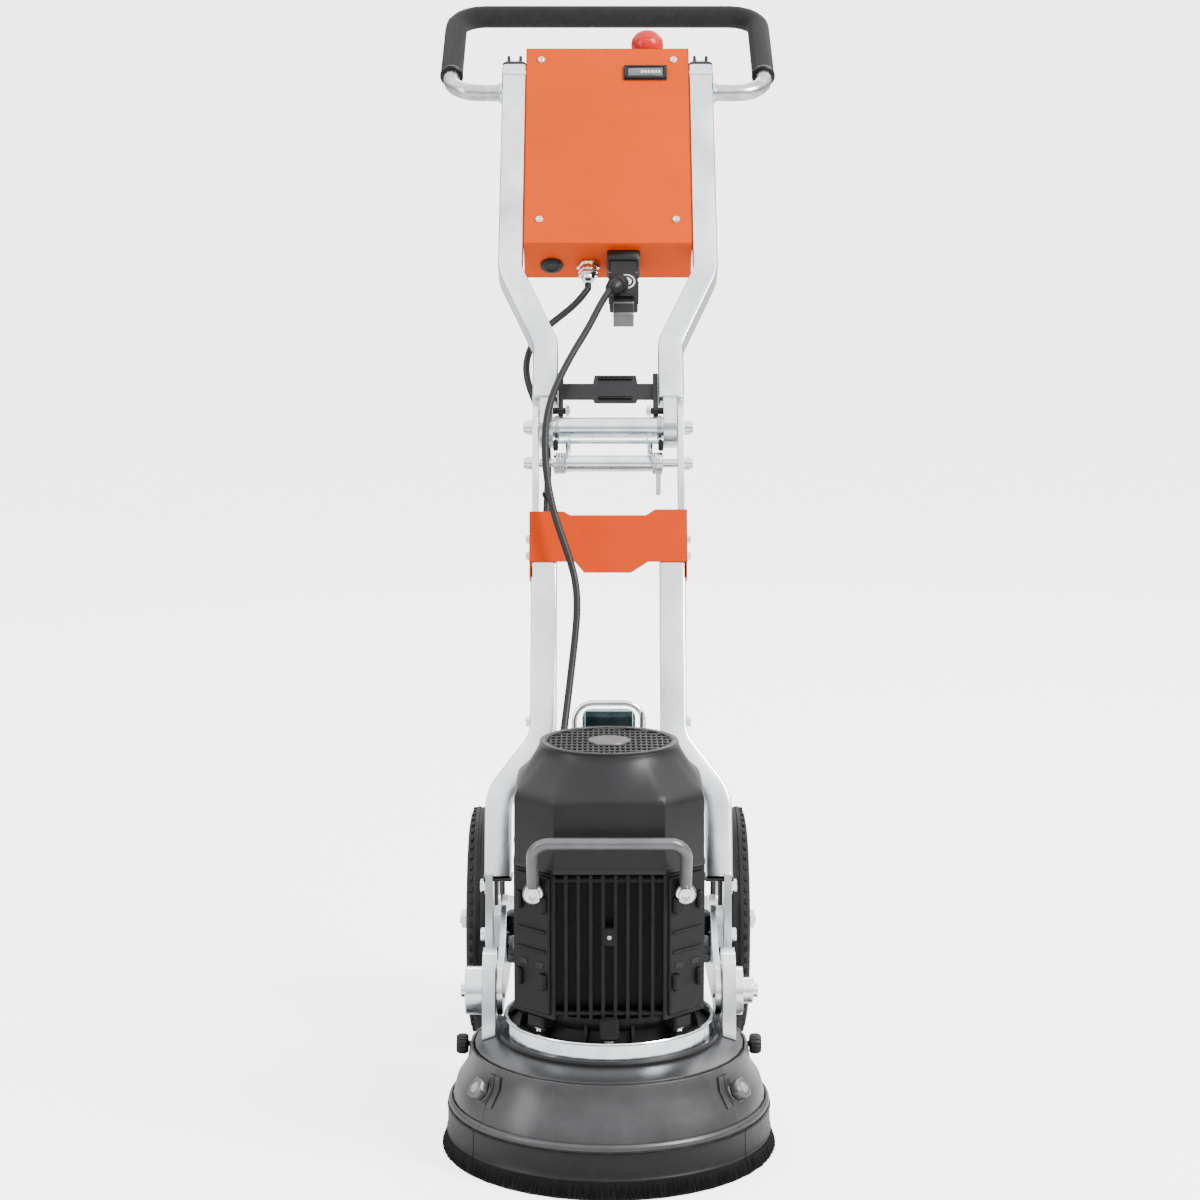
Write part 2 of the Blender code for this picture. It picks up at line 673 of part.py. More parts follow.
def build_lower_frame(owner, zinc, paint):
    normal = lower_frame(0, 0, 1) - lower_frame(0, 0, 0)
    levels = [height_on(FOOT, LOWER_LEAN, z) for z in (0.327, 0.389, 0.600)]
    fold_h = height_on(FOOT, LOWER_LEAN, FOLD_PIVOT[1])
    plate = [(0.360, -0.0145), (0.430, -0.0145), (0.450, -0.0200)] + arc((fold_h, 0.0), 0.0280, -45, 90, 6)
    plate += [(fold_h - 0.060, 0.0200), (0.450, 0.0200), (0.430, 0.0145), (0.360, 0.0145)]
    strap = [(0.163, 0.158), (0.214, 0.158), (0.218, 0.200), (0.213, 0.250), (0.176, 0.250), (0.165, 0.200)]
    lock_h = height_on(FOOT, LOWER_LEAN, LOCK_BAR[1])
    for side, name in SIDES:
        stations = [(side * FOOT_X, 0.0), (side * FOOT_X, levels[0])]
        stations += [(side * WAIST_X, levels[1]), (side * WAIST_X, levels[2])]
        tube = part(f"lower_tube_{name}", frame_tube(stations, lower_frame, normal), zinc, owner)
        low, high = mirrored(side, *FOLD_PLATE_X)
        join(tube, extruded(plate, low, high, lambda h, f, x: lower_frame(x, h, f)))
        low, high = mirrored(side, 0.1303, 0.1385)
        join(tube, extruded(strap, low, high, side_plate))
        cut(tube, rod([(side * 0.070, *FOLD_PIVOT), (side * 0.100, *FOLD_PIVOT)], 0.0058, 16))
        slot = arc((0.0, 0.0), 0.0053, -90, 90, 6) + arc((-0.0100, 0.0), 0.0053, 90, 270, 6)
        low, high = mirrored(side, 0.0790, 0.1000)
        cut(tube, extruded(slot, low, high, lambda h, f, x: lower_frame(x, lock_h + h, f + LOCK_F)))
    cover = [
        (-0.0916, 0.3650), (-0.0385, 0.3650), (-0.0281, 0.3520),
        (0.0262, 0.3520), (0.0459, 0.3650), (0.0916, 0.3650),
        (0.0916, 0.4275), (0.0540, 0.4275), (0.0440, 0.4205),
        (-0.0440, 0.4205), (-0.0520, 0.4250), (-0.0916, 0.4250),
    ]
    shell = part("frame_cover", extruded(cover, 0.0155, 0.0175, lower_frame), paint, owner)
    for side, _ in SIDES:
        join(shell, block(mirrored(side, 0.0898, 0.0914), (0.3480, 0.4240), (-0.0120, 0.0165), lower_frame))


def fold_pin(centre, radius, shoulder, stem):
    """A cross bar with a stem and a bolt head at each end, about one axis along X."""
    head = stem + 0.003
    half = [(radius, shoulder), (stem, shoulder), (stem, 0.0890), (head, 0.0890), (head, 0.0950)]
    profile = [(r, -x) for r, x in half[::-1]] + half
    return turned_along(profile, (0, *centre), (1, 0, 0), 20)


def build_fold_lock(chassis, zinc, steel):
    owner = body("lock_bar", chassis, (0.0, *LOCK_BAR))
    part("lock_bar", fold_pin(LOCK_BAR, 0.0100, 0.0640, 0.0050), zinc, owner)
    turns, steps, pitch = 4, 8, 0.0028
    for side, name in SIDES:
        coil = []
        for k in range(turns * steps + 1):
            t = math.radians(200 + 360 * k / steps)
            y = LOCK_BAR[0] + 0.0125 * math.cos(t)
            z = LOCK_BAR[1] + 0.0125 * math.sin(t)
            coil.append(Vector((side * (0.0620 - pitch * k / steps), y, z)))
        leg = [(0.0490, 0.3655, 0.7020), (0.0470, 0.3745, 0.7130), (0.0455, 0.3825, 0.7215)]
        spring = spring_wire(coil + [Vector((side * x, y, z)) for x, y, z in leg], 0.0011)
        part(f"torsion_spring_{name}", spring, steel, chassis)


def spring_wire(points, radius, sides=6):
    """A wire along a path that leaves its plane, its rings turned as little as possible."""
    rings = []
    up = Vector((1, 0, 0))
    for k, point in enumerate(points):
        along = (points[min(k + 1, len(points) - 1)] - points[max(k - 1, 0)]).normalized()
        across = along.cross(up).normalized()
        up = across.cross(along).normalized()
        rings.append([point + across * a + up * b for a, b in round_section(radius, sides)])
    return loft(rings)


# Upper frame

def build_upper_frame(owner, zinc):
    normal = upper_frame(0, 0, 1) - upper_frame(0, 0, 0)
    low_h, high_h = (height_on(FOLD_PIVOT, UPPER_LEAN, z) for z in (0.822, 0.905))
    tongue = arc((0.0, 0.0), 0.0240, 110, 250, 8)
    tongue += [(0.0200, -0.0145), (0.0500, -0.0120), (0.0500, 0.0120), (0.0200, 0.0145)]
    for side, name in SIDES:
        stations = [(side * WAIST_X, 0.0360), (side * WAIST_X, low_h)]
        stations += [(side * TOP_X, high_h), (side * TOP_X, 0.5500)]
        tube = part(f"upper_tube_{name}", frame_tube(stations, upper_frame, normal), zinc, owner)
        low, high = mirrored(side, *TONGUE_X)
        join(tube, extruded(tongue, low, high, lambda h, f, x: upper_frame(x, h, f)))
        cut(tube, rod([(side * 0.050, *FOLD_PIVOT), (side * 0.100, *FOLD_PIVOT)], 0.0058, 16))
        bolt = upper_frame(0, LEVER_H, 0)
        cut(tube, rod([(side * 0.050, bolt.y, bolt.z), (side * 0.0740, bolt.y, bolt.z)], 0.0043, 16))
        grip = upper_frame(0, HANDLE_H, 0)
        cut(tube, rod([(side * 0.1200, grip.y, grip.z), (side * 0.1500, grip.y, grip.z)], HANDLE_R + GAP, 24))
    part("fold_shaft", fold_pin(FOLD_PIVOT, 0.0123, 0.0647, 0.0055), zinc, owner)


def build_release_lever(parent, black):
    bolt = upper_frame(0, LEVER_H, 0)
    owner = body("release_lever", parent, tuple(bolt))
    outline = [
        (-0.0540, 0.0410), (-0.0180, 0.0410), (-0.0160, 0.0360),
        (0.0330, 0.0360), (0.0350, 0.0410), (0.0540, 0.0410),
        (0.0540, 0.0620), (0.0350, 0.0620), (0.0330, 0.0740),
        (-0.0160, 0.0740), (-0.0180, 0.0620), (-0.0540, 0.0620),
    ]
    lever = part("release_lever", extruded(outline, -0.0020, 0.0020, upper_frame), black, owner)
    ear = arc((LEVER_H, 0.0), 0.0080, 90, 270, 8) + [(0.0740, -0.0060), (0.0740, 0.0060)]
    for side, _ in SIDES:
        low, high = mirrored(side, 0.0530, 0.0590)
        join(lever, extruded(ear, low, high, lambda h, f, x: upper_frame(x, h, f)))
        join(lever, rod([(side * 0.0480, bolt.y, bolt.z), (side * 0.0720, bolt.y, bolt.z)], 0.0040, 12))


def build_control_box(owner, paint, black, chrome, beige):
    shell = part("control_box", upper_block((-BOX_X, BOX_X), BOX_H, BOX_F), paint, owner)
    inner_h = (BOX_H[0] + BOX_WALL, BOX_H[1] - BOX_WALL)
    cut(shell, upper_block((-BOX_X + BOX_WALL, BOX_X - BOX_WALL), inner_h, (BOX_F[0] + BOX_WALL, 0.03)))
    stop_hole = [upper_frame(ESTOP_X, BOX_H[1] + step, ESTOP_F) for step in (-0.01, 0.01)]
    cut(shell, rod(stop_hole, 0.0115, 20))
    start_hole = [upper_frame(START_X, START_H, BOX_F[0] + step) for step in (-0.01, 0.01)]
    cut(shell, rod(start_hole, 0.0085, 20))
    lid = part("box_cover", upper_block((-BOX_X, BOX_X), BOX_H, (BOX_F[1] + GAP, COVER_F)), paint, owner)
    bevelled(lid, 0.0008, 1)
    meter = upper_block((0.0215, 0.0745), (0.5260, 0.5475), (COVER_F + GAP, COVER_F + 0.0030))
    part("hour_meter", meter, black, owner)
    hood = upper_block((0.0025, 0.0360), (0.1960, BOX_H[0] - GAP), (-0.0370, -0.0030))
    plug = part("cable_connector", hood, black, owner)
    join(plug, upper_block((0.0070, 0.0310), (0.1720, 0.2000), (-0.0320, -0.0080)))
    profile = [(0.0105, -0.0040), (0.0105, 0.0110), (0.0085, 0.0110), (0.0080, 0.0200)]
    join(plug, turned_along(profile, upper_frame(*CONNECTOR_MOUTH), CONNECTOR_AIM, 16))
    down = upper_frame(0, -1, 0) - upper_frame(0, 0, 0)
    profile = [(0.0115, GAP), (0.0115, 0.0120), (0.0095, 0.0120), (0.0095, 0.0180), (0.0075, 0.0240)]
    gland = turned_along(profile, upper_frame(GLAND_X, BOX_H[0], GLAND_F), down, 12)
    part("cable_gland", gland, chrome, owner)
    switchgear = upper_block((-0.0750, -0.0250), (0.3600, 0.4500), (-0.0535, -0.0100))
    relay = part("contactor", switchgear, beige, owner)
    bevelled(relay, 0.003, 1)


def build_buttons(parent, red, green):
    stop_at = upper_frame(ESTOP_X, BOX_H[1], ESTOP_F)
    up = upper_frame(0, 1, 0) - upper_frame(0, 0, 0)
    profile = [
        (0.0110, -0.0150), (0.0110, 0.0140), (0.0175, 0.0200),
        (0.0200, 0.0260), (0.0200, 0.0360), (0.0160, 0.0420),
    ]
    stop = turned_along(profile, stop_at, up)
    part("emergency_stop", stop, red, body("emergency_stop", parent, tuple(stop_at)))
    start_at = upper_frame(START_X, START_H, BOX_F[0])
    back = upper_frame(0, 0, -1) - upper_frame(0, 0, 0)
    profile = [(0.0080, -0.0120), (0.0080, 0.0060), (0.0110, 0.0060), (0.0110, 0.0110), (0.0095, 0.0120)]
    start = turned_along(profile, start_at, back)
    part("start_button", start, green, body("start_button", parent, tuple(start_at)))


def build_handlebar(parent, zinc, foam):
    pivot = upper_frame(0, HANDLE_H, 0)
    owner = body("handlebar", parent, tuple(pivot))
    along = Vector((0, math.cos(HANDLE_RISE), math.sin(HANDLE_RISE)))
    normal = Vector((1, 0, 0)).cross(along)
    entry, reach = Vector((0.1250, 0, 0)), Vector((HANDLE_X, 0, 0))
    ends = [pivot - entry, pivot - reach, pivot - reach + along * HANDLE_LEG]
    ends += [pivot + reach + along * HANDLE_LEG, pivot + reach, pivot + entry]
    part("handlebar", swept(rounded_path(ends, 0.038), round_section(HANDLE_R, 12), normal), zinc, owner)
    start = along * 0.0480
    sleeve = [pivot - reach + start] + [ends[2], ends[3]] + [pivot + reach + start]
    hole = round_section(HANDLE_R + 2 * GAP, 12)
    grip = swept(rounded_path(sleeve, 0.038), round_section(GRIP_R, 12), normal, hole)
    part("handle_grip", grip, foam, owner)


# Leads

def build_leads(upper, chassis, rubber):
    cable("motor_lead_upper", MOTOR_LEAD_UPPER, rubber, upper)
    cable("motor_lead_lower", MOTOR_LEAD_LOWER, rubber, chassis)
    cable("supply_lead", SUPPLY_LEAD, rubber, upper)


def build():
    for old in list(bpy.data.objects):
        bpy.data.objects.remove(old)
    orange = material("orange_paint", (0.90, 0.13, 0.01), 0.35)
    zinc = material("zinc", (0.75, 0.78, 0.80), 0.25, 1.0)
    steel = material("steel", (0.55, 0.56, 0.58), 0.35, 1.0)
    hood_grey = material("hood_grey", (0.10, 0.10, 0.10), 0.35, 0.5)
    cast = material("motor_grey", (0.12, 0.11, 0.11), 0.45, 0.2)
    black = material("black_plastic", (0.02, 0.02, 0.02), 0.45)
    rubber = material("rubber", (0.015, 0.015, 0.015), 0.7)
    foam = material("grip_foam", (0.05, 0.05, 0.05), 0.9)
    bristle = material("bristle", (0.01, 0.01, 0.01), 0.8)
    copper = material("windings", (0.50, 0.25, 0.12), 0.4, 1.0)
    chrome = material("chrome", (0.85, 0.85, 0.85), 0.08, 1.0)
    red = material("red_plastic", (0.70, 0.02, 0.02), 0.3)
    green = material("green_plastic", (0.02, 0.35, 0.08), 0.3)
    beige = material("contactor_grey", (0.45, 0.44, 0.40), 0.5)

    head = body("head")
    head.location = (0.0, DISC_AXIS_Y, 0.0)
    build_hood(head, hood_grey)
    build_rear_skirt(head, hood_grey, bristle)
    build_front_skirt(head, hood_grey, bristle)
    build_skirt_fasteners(head, steel, black)
    build_band_ring(head, zinc)
    build_dust_port(head, hood_grey)
    build_motor(head, cast, black, copper, steel)
    build_cowl(head, black)
    build_motor_handles(head, cast, zinc)
    build_rotor(head, steel, cast)
    build_head_brackets(head, zinc)

    chassis = body("chassis", head, (0.0, *HEAD_PIVOT))
    build_pivot_pins(chassis, zinc)
    build_chassis_plates(chassis, zinc)
    build_wheels(chassis, rubber, zinc)
    build_lower_frame(chassis, zinc, orange)
    build_fold_lock(chassis, zinc, steel)

    upper = body("upper_frame", chassis, (0.0, *FOLD_PIVOT))
    build_upper_frame(upper, zinc)
    build_release_lever(upper, black)
    build_control_box(upper, orange, black, chrome, beige)
    build_buttons(upper, red, green)
    build_handlebar(upper, zinc, foam)
    build_leads(upper, chassis, rubber)


build()
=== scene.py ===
"""Looks of a walk-behind concrete floor grinder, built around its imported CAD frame.

Lengths along Y are given behind the disc axis and moved by place(); left is -X.
"""

import math
import random

import bmesh
import bpy
from mathutils import Matrix, Vector


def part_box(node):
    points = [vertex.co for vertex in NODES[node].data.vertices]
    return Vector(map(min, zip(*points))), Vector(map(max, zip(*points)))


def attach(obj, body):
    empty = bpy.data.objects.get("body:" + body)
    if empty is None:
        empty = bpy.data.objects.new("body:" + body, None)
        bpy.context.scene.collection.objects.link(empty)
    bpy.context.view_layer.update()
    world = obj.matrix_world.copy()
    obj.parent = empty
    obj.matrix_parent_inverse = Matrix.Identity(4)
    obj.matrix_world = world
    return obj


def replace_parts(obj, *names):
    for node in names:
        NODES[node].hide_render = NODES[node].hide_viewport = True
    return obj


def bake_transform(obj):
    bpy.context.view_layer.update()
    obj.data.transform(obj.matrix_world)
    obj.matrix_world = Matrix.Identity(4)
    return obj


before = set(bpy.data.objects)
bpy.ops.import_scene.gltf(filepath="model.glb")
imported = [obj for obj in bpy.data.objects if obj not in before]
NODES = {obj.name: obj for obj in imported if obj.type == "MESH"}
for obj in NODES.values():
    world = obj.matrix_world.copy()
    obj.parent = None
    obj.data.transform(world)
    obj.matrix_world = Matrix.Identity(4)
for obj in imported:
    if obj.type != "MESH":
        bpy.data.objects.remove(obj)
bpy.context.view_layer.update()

ring_low, ring_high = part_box("band_ring")
AXIS_Y = (ring_low.y + ring_high.y) / 2
SIDES = ((-1, "left"), (1, "right"))

FOOT = (0.193, 0.241)
FOLD_PIVOT = (0.394, 0.733)
LOCK_BAR = (0.376, 0.693)
LOWER_LEAN = math.radians(22.2)
UPPER_LEAN = math.radians(40.0)
HEAD_PIVOT = (0.03, 0.159)
AXLE = (0.406, 0.135)
MOTOR_HALF = 0.0995
MOTOR_FACET = MOTOR_HALF * math.tan(math.radians(30))
SLOPE_OUT = (MOTOR_HALF + MOTOR_FACET) / math.sqrt(2)
HANDLE_H = 0.515
HANDLE_RISE = math.radians(27)
HANDLE_X = 0.2
CABLE_R = 0.0042
CAMERA_LENS_MM = 84.66
CAMERA_AT = (-0.0096, -3.2972, 1.049)
CAMERA_TILT = math.radians(81.05)
KEY_WATTS, FILL_WATTS, RIM_WATTS = 230, 40, 60
FLOOR_SIZE, FLOOR_CELLS = 60.0, 30
DIFFUSE_SKY = 1.15
GLOSSY_SKY = (0.4, 2.7)
FLOOR_WHITE = 0.92
FLOOR_GLOW_SEEN = 3.0
FLOOR_GLOW_CAST = 0.1
SEEN_SKY = FLOOR_WHITE * DIFFUSE_SKY + FLOOR_GLOW_SEEN


# Places

def place(x, y, z):
    """A point given behind the disc axis, in the frame's own metres."""
    return Vector((x, y + AXIS_Y, z))


def lower(x, h, f):
    """A point h up the lower frame and f in front of its tubes' middle plane."""
    s, c = math.sin(LOWER_LEAN), math.cos(LOWER_LEAN)
    return place(x, FOOT[0] + h * s - f * c, FOOT[1] + h * c + f * s)


def upper(x, h, f):
    """A point h up the upper frame and f in front of its tubes' middle plane."""
    s, c = math.sin(UPPER_LEAN), math.cos(UPPER_LEAN)
    return place(x, FOLD_PIVOT[0] + h * s - f * c, FOLD_PIVOT[1] + h * c + f * s)


def slope(corner, u, out, z):
    """A point on one of the motor's four sloping facets: u along it, out from it."""
    t = math.radians(45 + 90 * corner)
    c, s = math.cos(t), math.sin(t)
    r = SLOPE_OUT + out
    return place(r * c - u * s, r * s + u * c, z)


UP_H = upper(0, 1, 0) - upper(0, 0, 0)
UP_F = upper(0, 0, 1) - upper(0, 0, 0)
RIGHT = Vector((1, 0, 0))
FRONT = Vector((0, -1, 0))
UP = Vector((0, 0, 1))


# Shaders

def surface(name, colour, rough, metallic=0.0, tint=0.08, scale=30.0, spread=0.06, bump=0.0, grain=600.0,
        stretch=(1, 1, 1), second=None, edge=0.0006, coat=0.0, sheen=0.0, anisotropy=0.0, specular=0.5):
    """A procedural finish: blotchy colour, uneven gloss, fine grain and softened edges."""
    shade = bpy.data.materials.new(name)
    shade.use_nodes = True
    tree = shade.node_tree
    shader = tree.nodes["Principled BSDF"]
    shader.inputs["Metallic"].default_value = metallic
    shader.inputs["Coat Weight"].default_value = coat
    shader.inputs["Coat Roughness"].default_value = 0.12
    shader.inputs["Sheen Weight"].default_value = sheen
    shader.inputs["Anisotropic"].default_value = anisotropy
    shader.inputs["Specular IOR Level"].default_value = specular

    def node(kind, **sockets):
        made = tree.nodes.new(kind)
        for key, value in sockets.items():
            made.inputs[key.replace("_", " ")].default_value = value
        return made

    def link(a, out, b, into):
        tree.links.new(a.outputs[out], b.inputs[into])

    where = node("ShaderNodeTexCoord")
    turn = node("ShaderNodeMapping", Scale=stretch)
    link(where, "Object", turn, "Vector")
    blotch = node("ShaderNodeTexNoise", Scale=scale, Detail=5.0, Roughness=0.6)
    link(turn, "Vector", blotch, "Vector")
    ramp = tree.nodes.new("ShaderNodeValToRGB")
    dark = [max(0.0, v * (1 - tint)) for v in colour]
    light = second or [min(1.0, v * (1 + tint)) for v in colour]
    ramp.color_ramp.elements[0].position = 0.33
    ramp.color_ramp.elements[0].color = (*dark, 1.0)
    ramp.color_ramp.elements[1].position = 0.68
    ramp.color_ramp.elements[1].color = (*light, 1.0)
    link(blotch, "Fac", ramp, "Fac")
    link(ramp, "Color", shader, "Base Color")
    fine = node("ShaderNodeTexNoise", Scale=grain, Detail=3.0, Roughness=0.55)
    link(turn, "Vector", fine, "Vector")
    gloss = node("ShaderNodeMapRange", To_Min=max(0.02, rough - spread), To_Max=min(1.0, rough + spread))
    link(blotch, "Fac", gloss, "Value")
    link(gloss, "Result", shader, "Roughness")
    soften = node("ShaderNodeBevel", Radius=edge)
    soften.samples = 4
    relief = node("ShaderNodeBump", Strength=bump, Distance=0.0004)
    link(fine, "Fac", relief, "Height")
    link(soften, "Normal", relief, "Normal")
    link(relief, "Normal", shader, "Normal")
    return shade


ORANGE = surface("orange_powder_coat", (0.62, 0.062, 0.0), 0.45, tint=0.04, scale=9, spread=0.05, bump=0.12,
        grain=1500, edge=0.0012, specular=0.08)
COVER_ORANGE = surface("cover_powder_coat", (0.56, 0.042, 0.0), 0.45, tint=0.04, scale=12, spread=0.05,
        bump=0.12, grain=1500, edge=0.001, specular=0.08)
ZINC = surface("zinc_plate", (0.62, 0.67, 0.7), 0.25, 1.0, tint=0.14, scale=14, spread=0.1, bump=0.14,
        grain=420,
        stretch=(1, 1, 0.35), second=(0.94, 0.96, 0.97), edge=0.0012, anisotropy=0.2)
BRIGHT_ZINC = surface("bright_zinc_plate", (0.66, 0.75, 0.8), 0.18, 1.0, tint=0.14, scale=26, spread=0.07,
        bump=0.05,
        grain=500, second=(0.95, 0.96, 0.97), edge=0.0005)
TEAL_ZINC = surface("passivated_zinc_plate", (0.22, 0.46, 0.48), 0.16, 1.0, tint=0.2, scale=35, spread=0.05,
        bump=0.04,
        second=(0.62, 0.8, 0.8), edge=0.0004)
STEEL = surface("turned_steel", (0.42, 0.43, 0.45), 0.32, 1.0, tint=0.14, scale=60, spread=0.1, bump=0.12,
        grain=900)
CHROME = surface("chrome_plate", (0.74, 0.75, 0.77), 0.1, 1.0, tint=0.06, scale=50, spread=0.04, bump=0.02)
SATIN_TUBE = surface("satin_steel_tube", (0.4, 0.41, 0.42), 0.27, 1.0, tint=0.12, scale=45, spread=0.08,
        bump=0.1,
        grain=900, stretch=(1, 1, 3), second=(0.6, 0.61, 0.62))
HOOD_GREY = surface("hood_metallic_paint", (0.066, 0.066, 0.068), 0.33, 0.6, tint=0.16, scale=22, spread=0.07,
        bump=0.08, grain=1400, edge=0.0015, specular=0.3)
CAST_GREY = surface("painted_casting", (0.01, 0.0095, 0.0095), 0.48, 0.15, tint=0.22, scale=55, spread=0.1,
        bump=0.35,
        grain=700, edge=0.0009, specular=0.16)
COWL_GREY = surface("cowl_paint", (0.013, 0.013, 0.014), 0.36, 0.15, tint=0.14, scale=18, spread=0.06,
        bump=0.14,
        grain=1100, edge=0.002, specular=0.26)
GRILLE_BLACK = surface("grille_plastic", (0.02, 0.021, 0.023), 0.4, tint=0.14, scale=60, bump=0.12, grain=900,
        specular=0.4)
HANDLE_GREY = surface("handle_metallic_paint", (0.13, 0.13, 0.135), 0.33, 0.6, tint=0.12, scale=40,
        spread=0.06,
        bump=0.1, grain=1200, specular=0.35)
# Black mouldings; the same finish also paints the shade in the motor pads' slots.
BLACK = surface("black_moulding_and_slot_shade", (0.006, 0.006, 0.0065), 0.42, tint=0.25, scale=70, spread=0.08, bump=0.16,
        grain=1000,
        specular=0.25)
BLACK_PAINT = surface("black_powder_coat", (0.008, 0.008, 0.009), 0.38, tint=0.16, scale=40, bump=0.18,
        grain=1300,
        specular=0.28)
RUBBER = surface("tyre_rubber", (0.008, 0.008, 0.0085), 0.66, tint=0.28, scale=45, spread=0.1, bump=0.3,
        grain=500,
        specular=0.25)
FOAM = surface("closed_cell_foam", (0.016, 0.016, 0.017), 0.88, tint=0.2, scale=90, spread=0.06, bump=0.85,
        grain=850,
        sheen=0.06, specular=0.15)
CABLE = surface("cable_sheath", (0.006, 0.006, 0.0065), 0.46, tint=0.2, scale=60, spread=0.08, bump=0.1,
        grain=700,
        specular=0.3)
BRISTLE = surface("nylon_bristle", (0.005, 0.005, 0.0055), 0.55, tint=0.4, scale=300, spread=0.12, bump=0.2,
        grain=2000,
        specular=0.2)
RAIL = surface("brush_rail", (0.012, 0.012, 0.013), 0.36, tint=0.15, scale=30, spread=0.07, bump=0.06,
        grain=900,
        specular=0.35)
RED = surface("red_moulding", (0.62, 0.004, 0.004), 0.26, tint=0.06, scale=40, bump=0.03, specular=0.35)
GREEN = surface("green_moulding", (0.01, 0.22, 0.04), 0.3, tint=0.06, scale=40, bump=0.03, specular=0.4)
COPPER = surface("enamelled_windings", (0.42, 0.17, 0.06), 0.36, 1.0, tint=0.25, scale=120, bump=0.5,
        grain=500,
        stretch=(1, 1, 0.2))
BEIGE = surface("switchgear_moulding", (0.42, 0.41, 0.36), 0.48, tint=0.06, scale=30, bump=0.08)
GLASS_GREY = surface("meter_glass", (0.06, 0.07, 0.07), 0.12, tint=0.1, scale=50, bump=0.0,
        second=(0.11, 0.125, 0.125),
        coat=0.4)
GRIT = surface("diamond_segment_steel", (0.15, 0.145, 0.135), 0.6, 0.7, tint=0.35, scale=260, spread=0.15,
        bump=0.9,
        grain=1600, second=(0.26, 0.24, 0.21))
PALE = surface("pale_moulding", (0.66, 0.67, 0.66), 0.38, tint=0.05, scale=40, bump=0.05)

FINISHES = {
    "hood": HOOD_GREY, "rear_skirt": HOOD_GREY, "front_skirt": HOOD_GREY, "dust_port": HOOD_GREY,
    "rear_brush_strip": RAIL, "front_brush_strip": RAIL, "band_ring": BRIGHT_ZINC,
    "motor_flange": CAST_GREY, "motor_housing": CAST_GREY, "terminal_box": CAST_GREY, "stator": COPPER,
    "lower_bearing": STEEL, "upper_bearing": STEEL, "fan_cowl": COWL_GREY, "front_handle": HANDLE_GREY,
    "lifting_handle": ZINC, "head_bracket_left": ZINC, "head_bracket_right": ZINC, "release_pin_left": STEEL,
    "release_pin_right": STEEL, "side_knob_left": BLACK, "side_knob_right": BLACK, "rotor_shaft": STEEL,
    "cooling_fan": BLACK, "tool_holder": STEEL, "grinding_disc": GRIT, "pivot_pin_left": ZINC,
    "pivot_pin_right": ZINC, "chassis_plate_left": ZINC, "chassis_plate_right": ZINC, "axle": ZINC,
    "cross_member": ZINC, "tyre_left": RUBBER, "tyre_right": RUBBER, "rim_left": ZINC, "rim_right": ZINC,
    "lower_tube_left": ZINC, "lower_tube_right": ZINC, "frame_cover": COVER_ORANGE, "lock_bar": BRIGHT_ZINC,
    "torsion_spring_left": STEEL, "torsion_spring_right": STEEL, "upper_tube_left": ZINC,
    "upper_tube_right": ZINC, "fold_shaft": BRIGHT_ZINC, "release_lever": BLACK_PAINT, "control_box": ORANGE,
    "box_cover": ORANGE, "hour_meter": BLACK, "cable_connector": BLACK, "cable_gland": CHROME,
    "contactor": BEIGE, "emergency_stop": RED, "start_button": GREEN, "handlebar": SATIN_TUBE,
    "handle_grip": FOAM, "motor_lead_upper": CABLE, "motor_lead_lower": CABLE, "supply_lead": CABLE,
}


# Mesh building

def soft_shading():
    """A modifier that joins a CAD mesh's split points and smooths its shading below 35 degrees."""
    group = bpy.data.node_groups.new("soft_shading", "GeometryNodeTree")
    group.interface.new_socket("Geometry", in_out="INPUT", socket_type="NodeSocketGeometry")
    group.interface.new_socket("Geometry", in_out="OUTPUT", socket_type="NodeSocketGeometry")
    nodes, links = group.nodes, group.links
    start, end = nodes.new("NodeGroupInput"), nodes.new("NodeGroupOutput")
    plain = nodes.new("GeometryNodeRemoveAttribute")
    plain.inputs["Name"].default_value = "custom_normal"
    weld = nodes.new("GeometryNodeMergeByDistance")
    weld.inputs["Distance"].default_value = 0.00002
    faces, edges = nodes.new("GeometryNodeSetShadeSmooth"), nodes.new("GeometryNodeSetShadeSmooth")
    faces.domain, edges.domain = "FACE", "EDGE"
    angle, below = nodes.new("GeometryNodeInputMeshEdgeAngle"), nodes.new("FunctionNodeCompare")
    below.operation = "LESS_THAN"
    below.inputs[1].default_value = math.radians(35)
    links.new(angle.outputs["Unsigned Angle"], below.inputs[0])
    links.new(below.outputs["Result"], edges.inputs["Shade Smooth"])
    for a, b in ((start, plain), (plain, weld), (weld, faces), (faces, edges), (edges, end)):
        links.new(a.outputs[0], b.inputs[0])
    return group


def shown(name, bm, shade, owner=None, smooth=40):
    """Turns a bmesh into a piece, which rides on a body where one is named."""
    bmesh.ops.recalc_face_normals(bm, faces=bm.faces)
    mesh = bpy.data.meshes.new(name)
    bm.to_mesh(mesh)
    bm.free()
    mesh.materials.append(shade)
    mesh.shade_smooth()
    mesh.set_sharp_from_angle(angle=math.radians(smooth))
    piece = bpy.data.objects.new(name, mesh)
    bpy.context.scene.collection.objects.link(piece)
    if owner:
        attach(piece, owner)
    return piece


def add_loft(bm, rings, closed=False):
    """Skins rings of equal length into a bmesh, capped at its ends or joined round."""
    loops = [[bm.verts.new(p) for p in ring] for ring in rings]
    pairs = list(zip(loops, loops[1:]))
    if closed:
        pairs.append((loops[-1], loops[0]))
    for a, b in pairs:
        for k in range(len(a)):
            n = (k + 1) % len(a)
            bm.faces.new((a[k], a[n], b[n], b[k]))
    if not closed:
        bm.faces.new(loops[0])
        bm.faces.new(loops[-1])


def aimed(origin, direction):
    turn = UP.rotation_difference(Vector(direction).normalized())
    return Matrix.Translation(origin) @ turn.to_matrix().to_4x4()


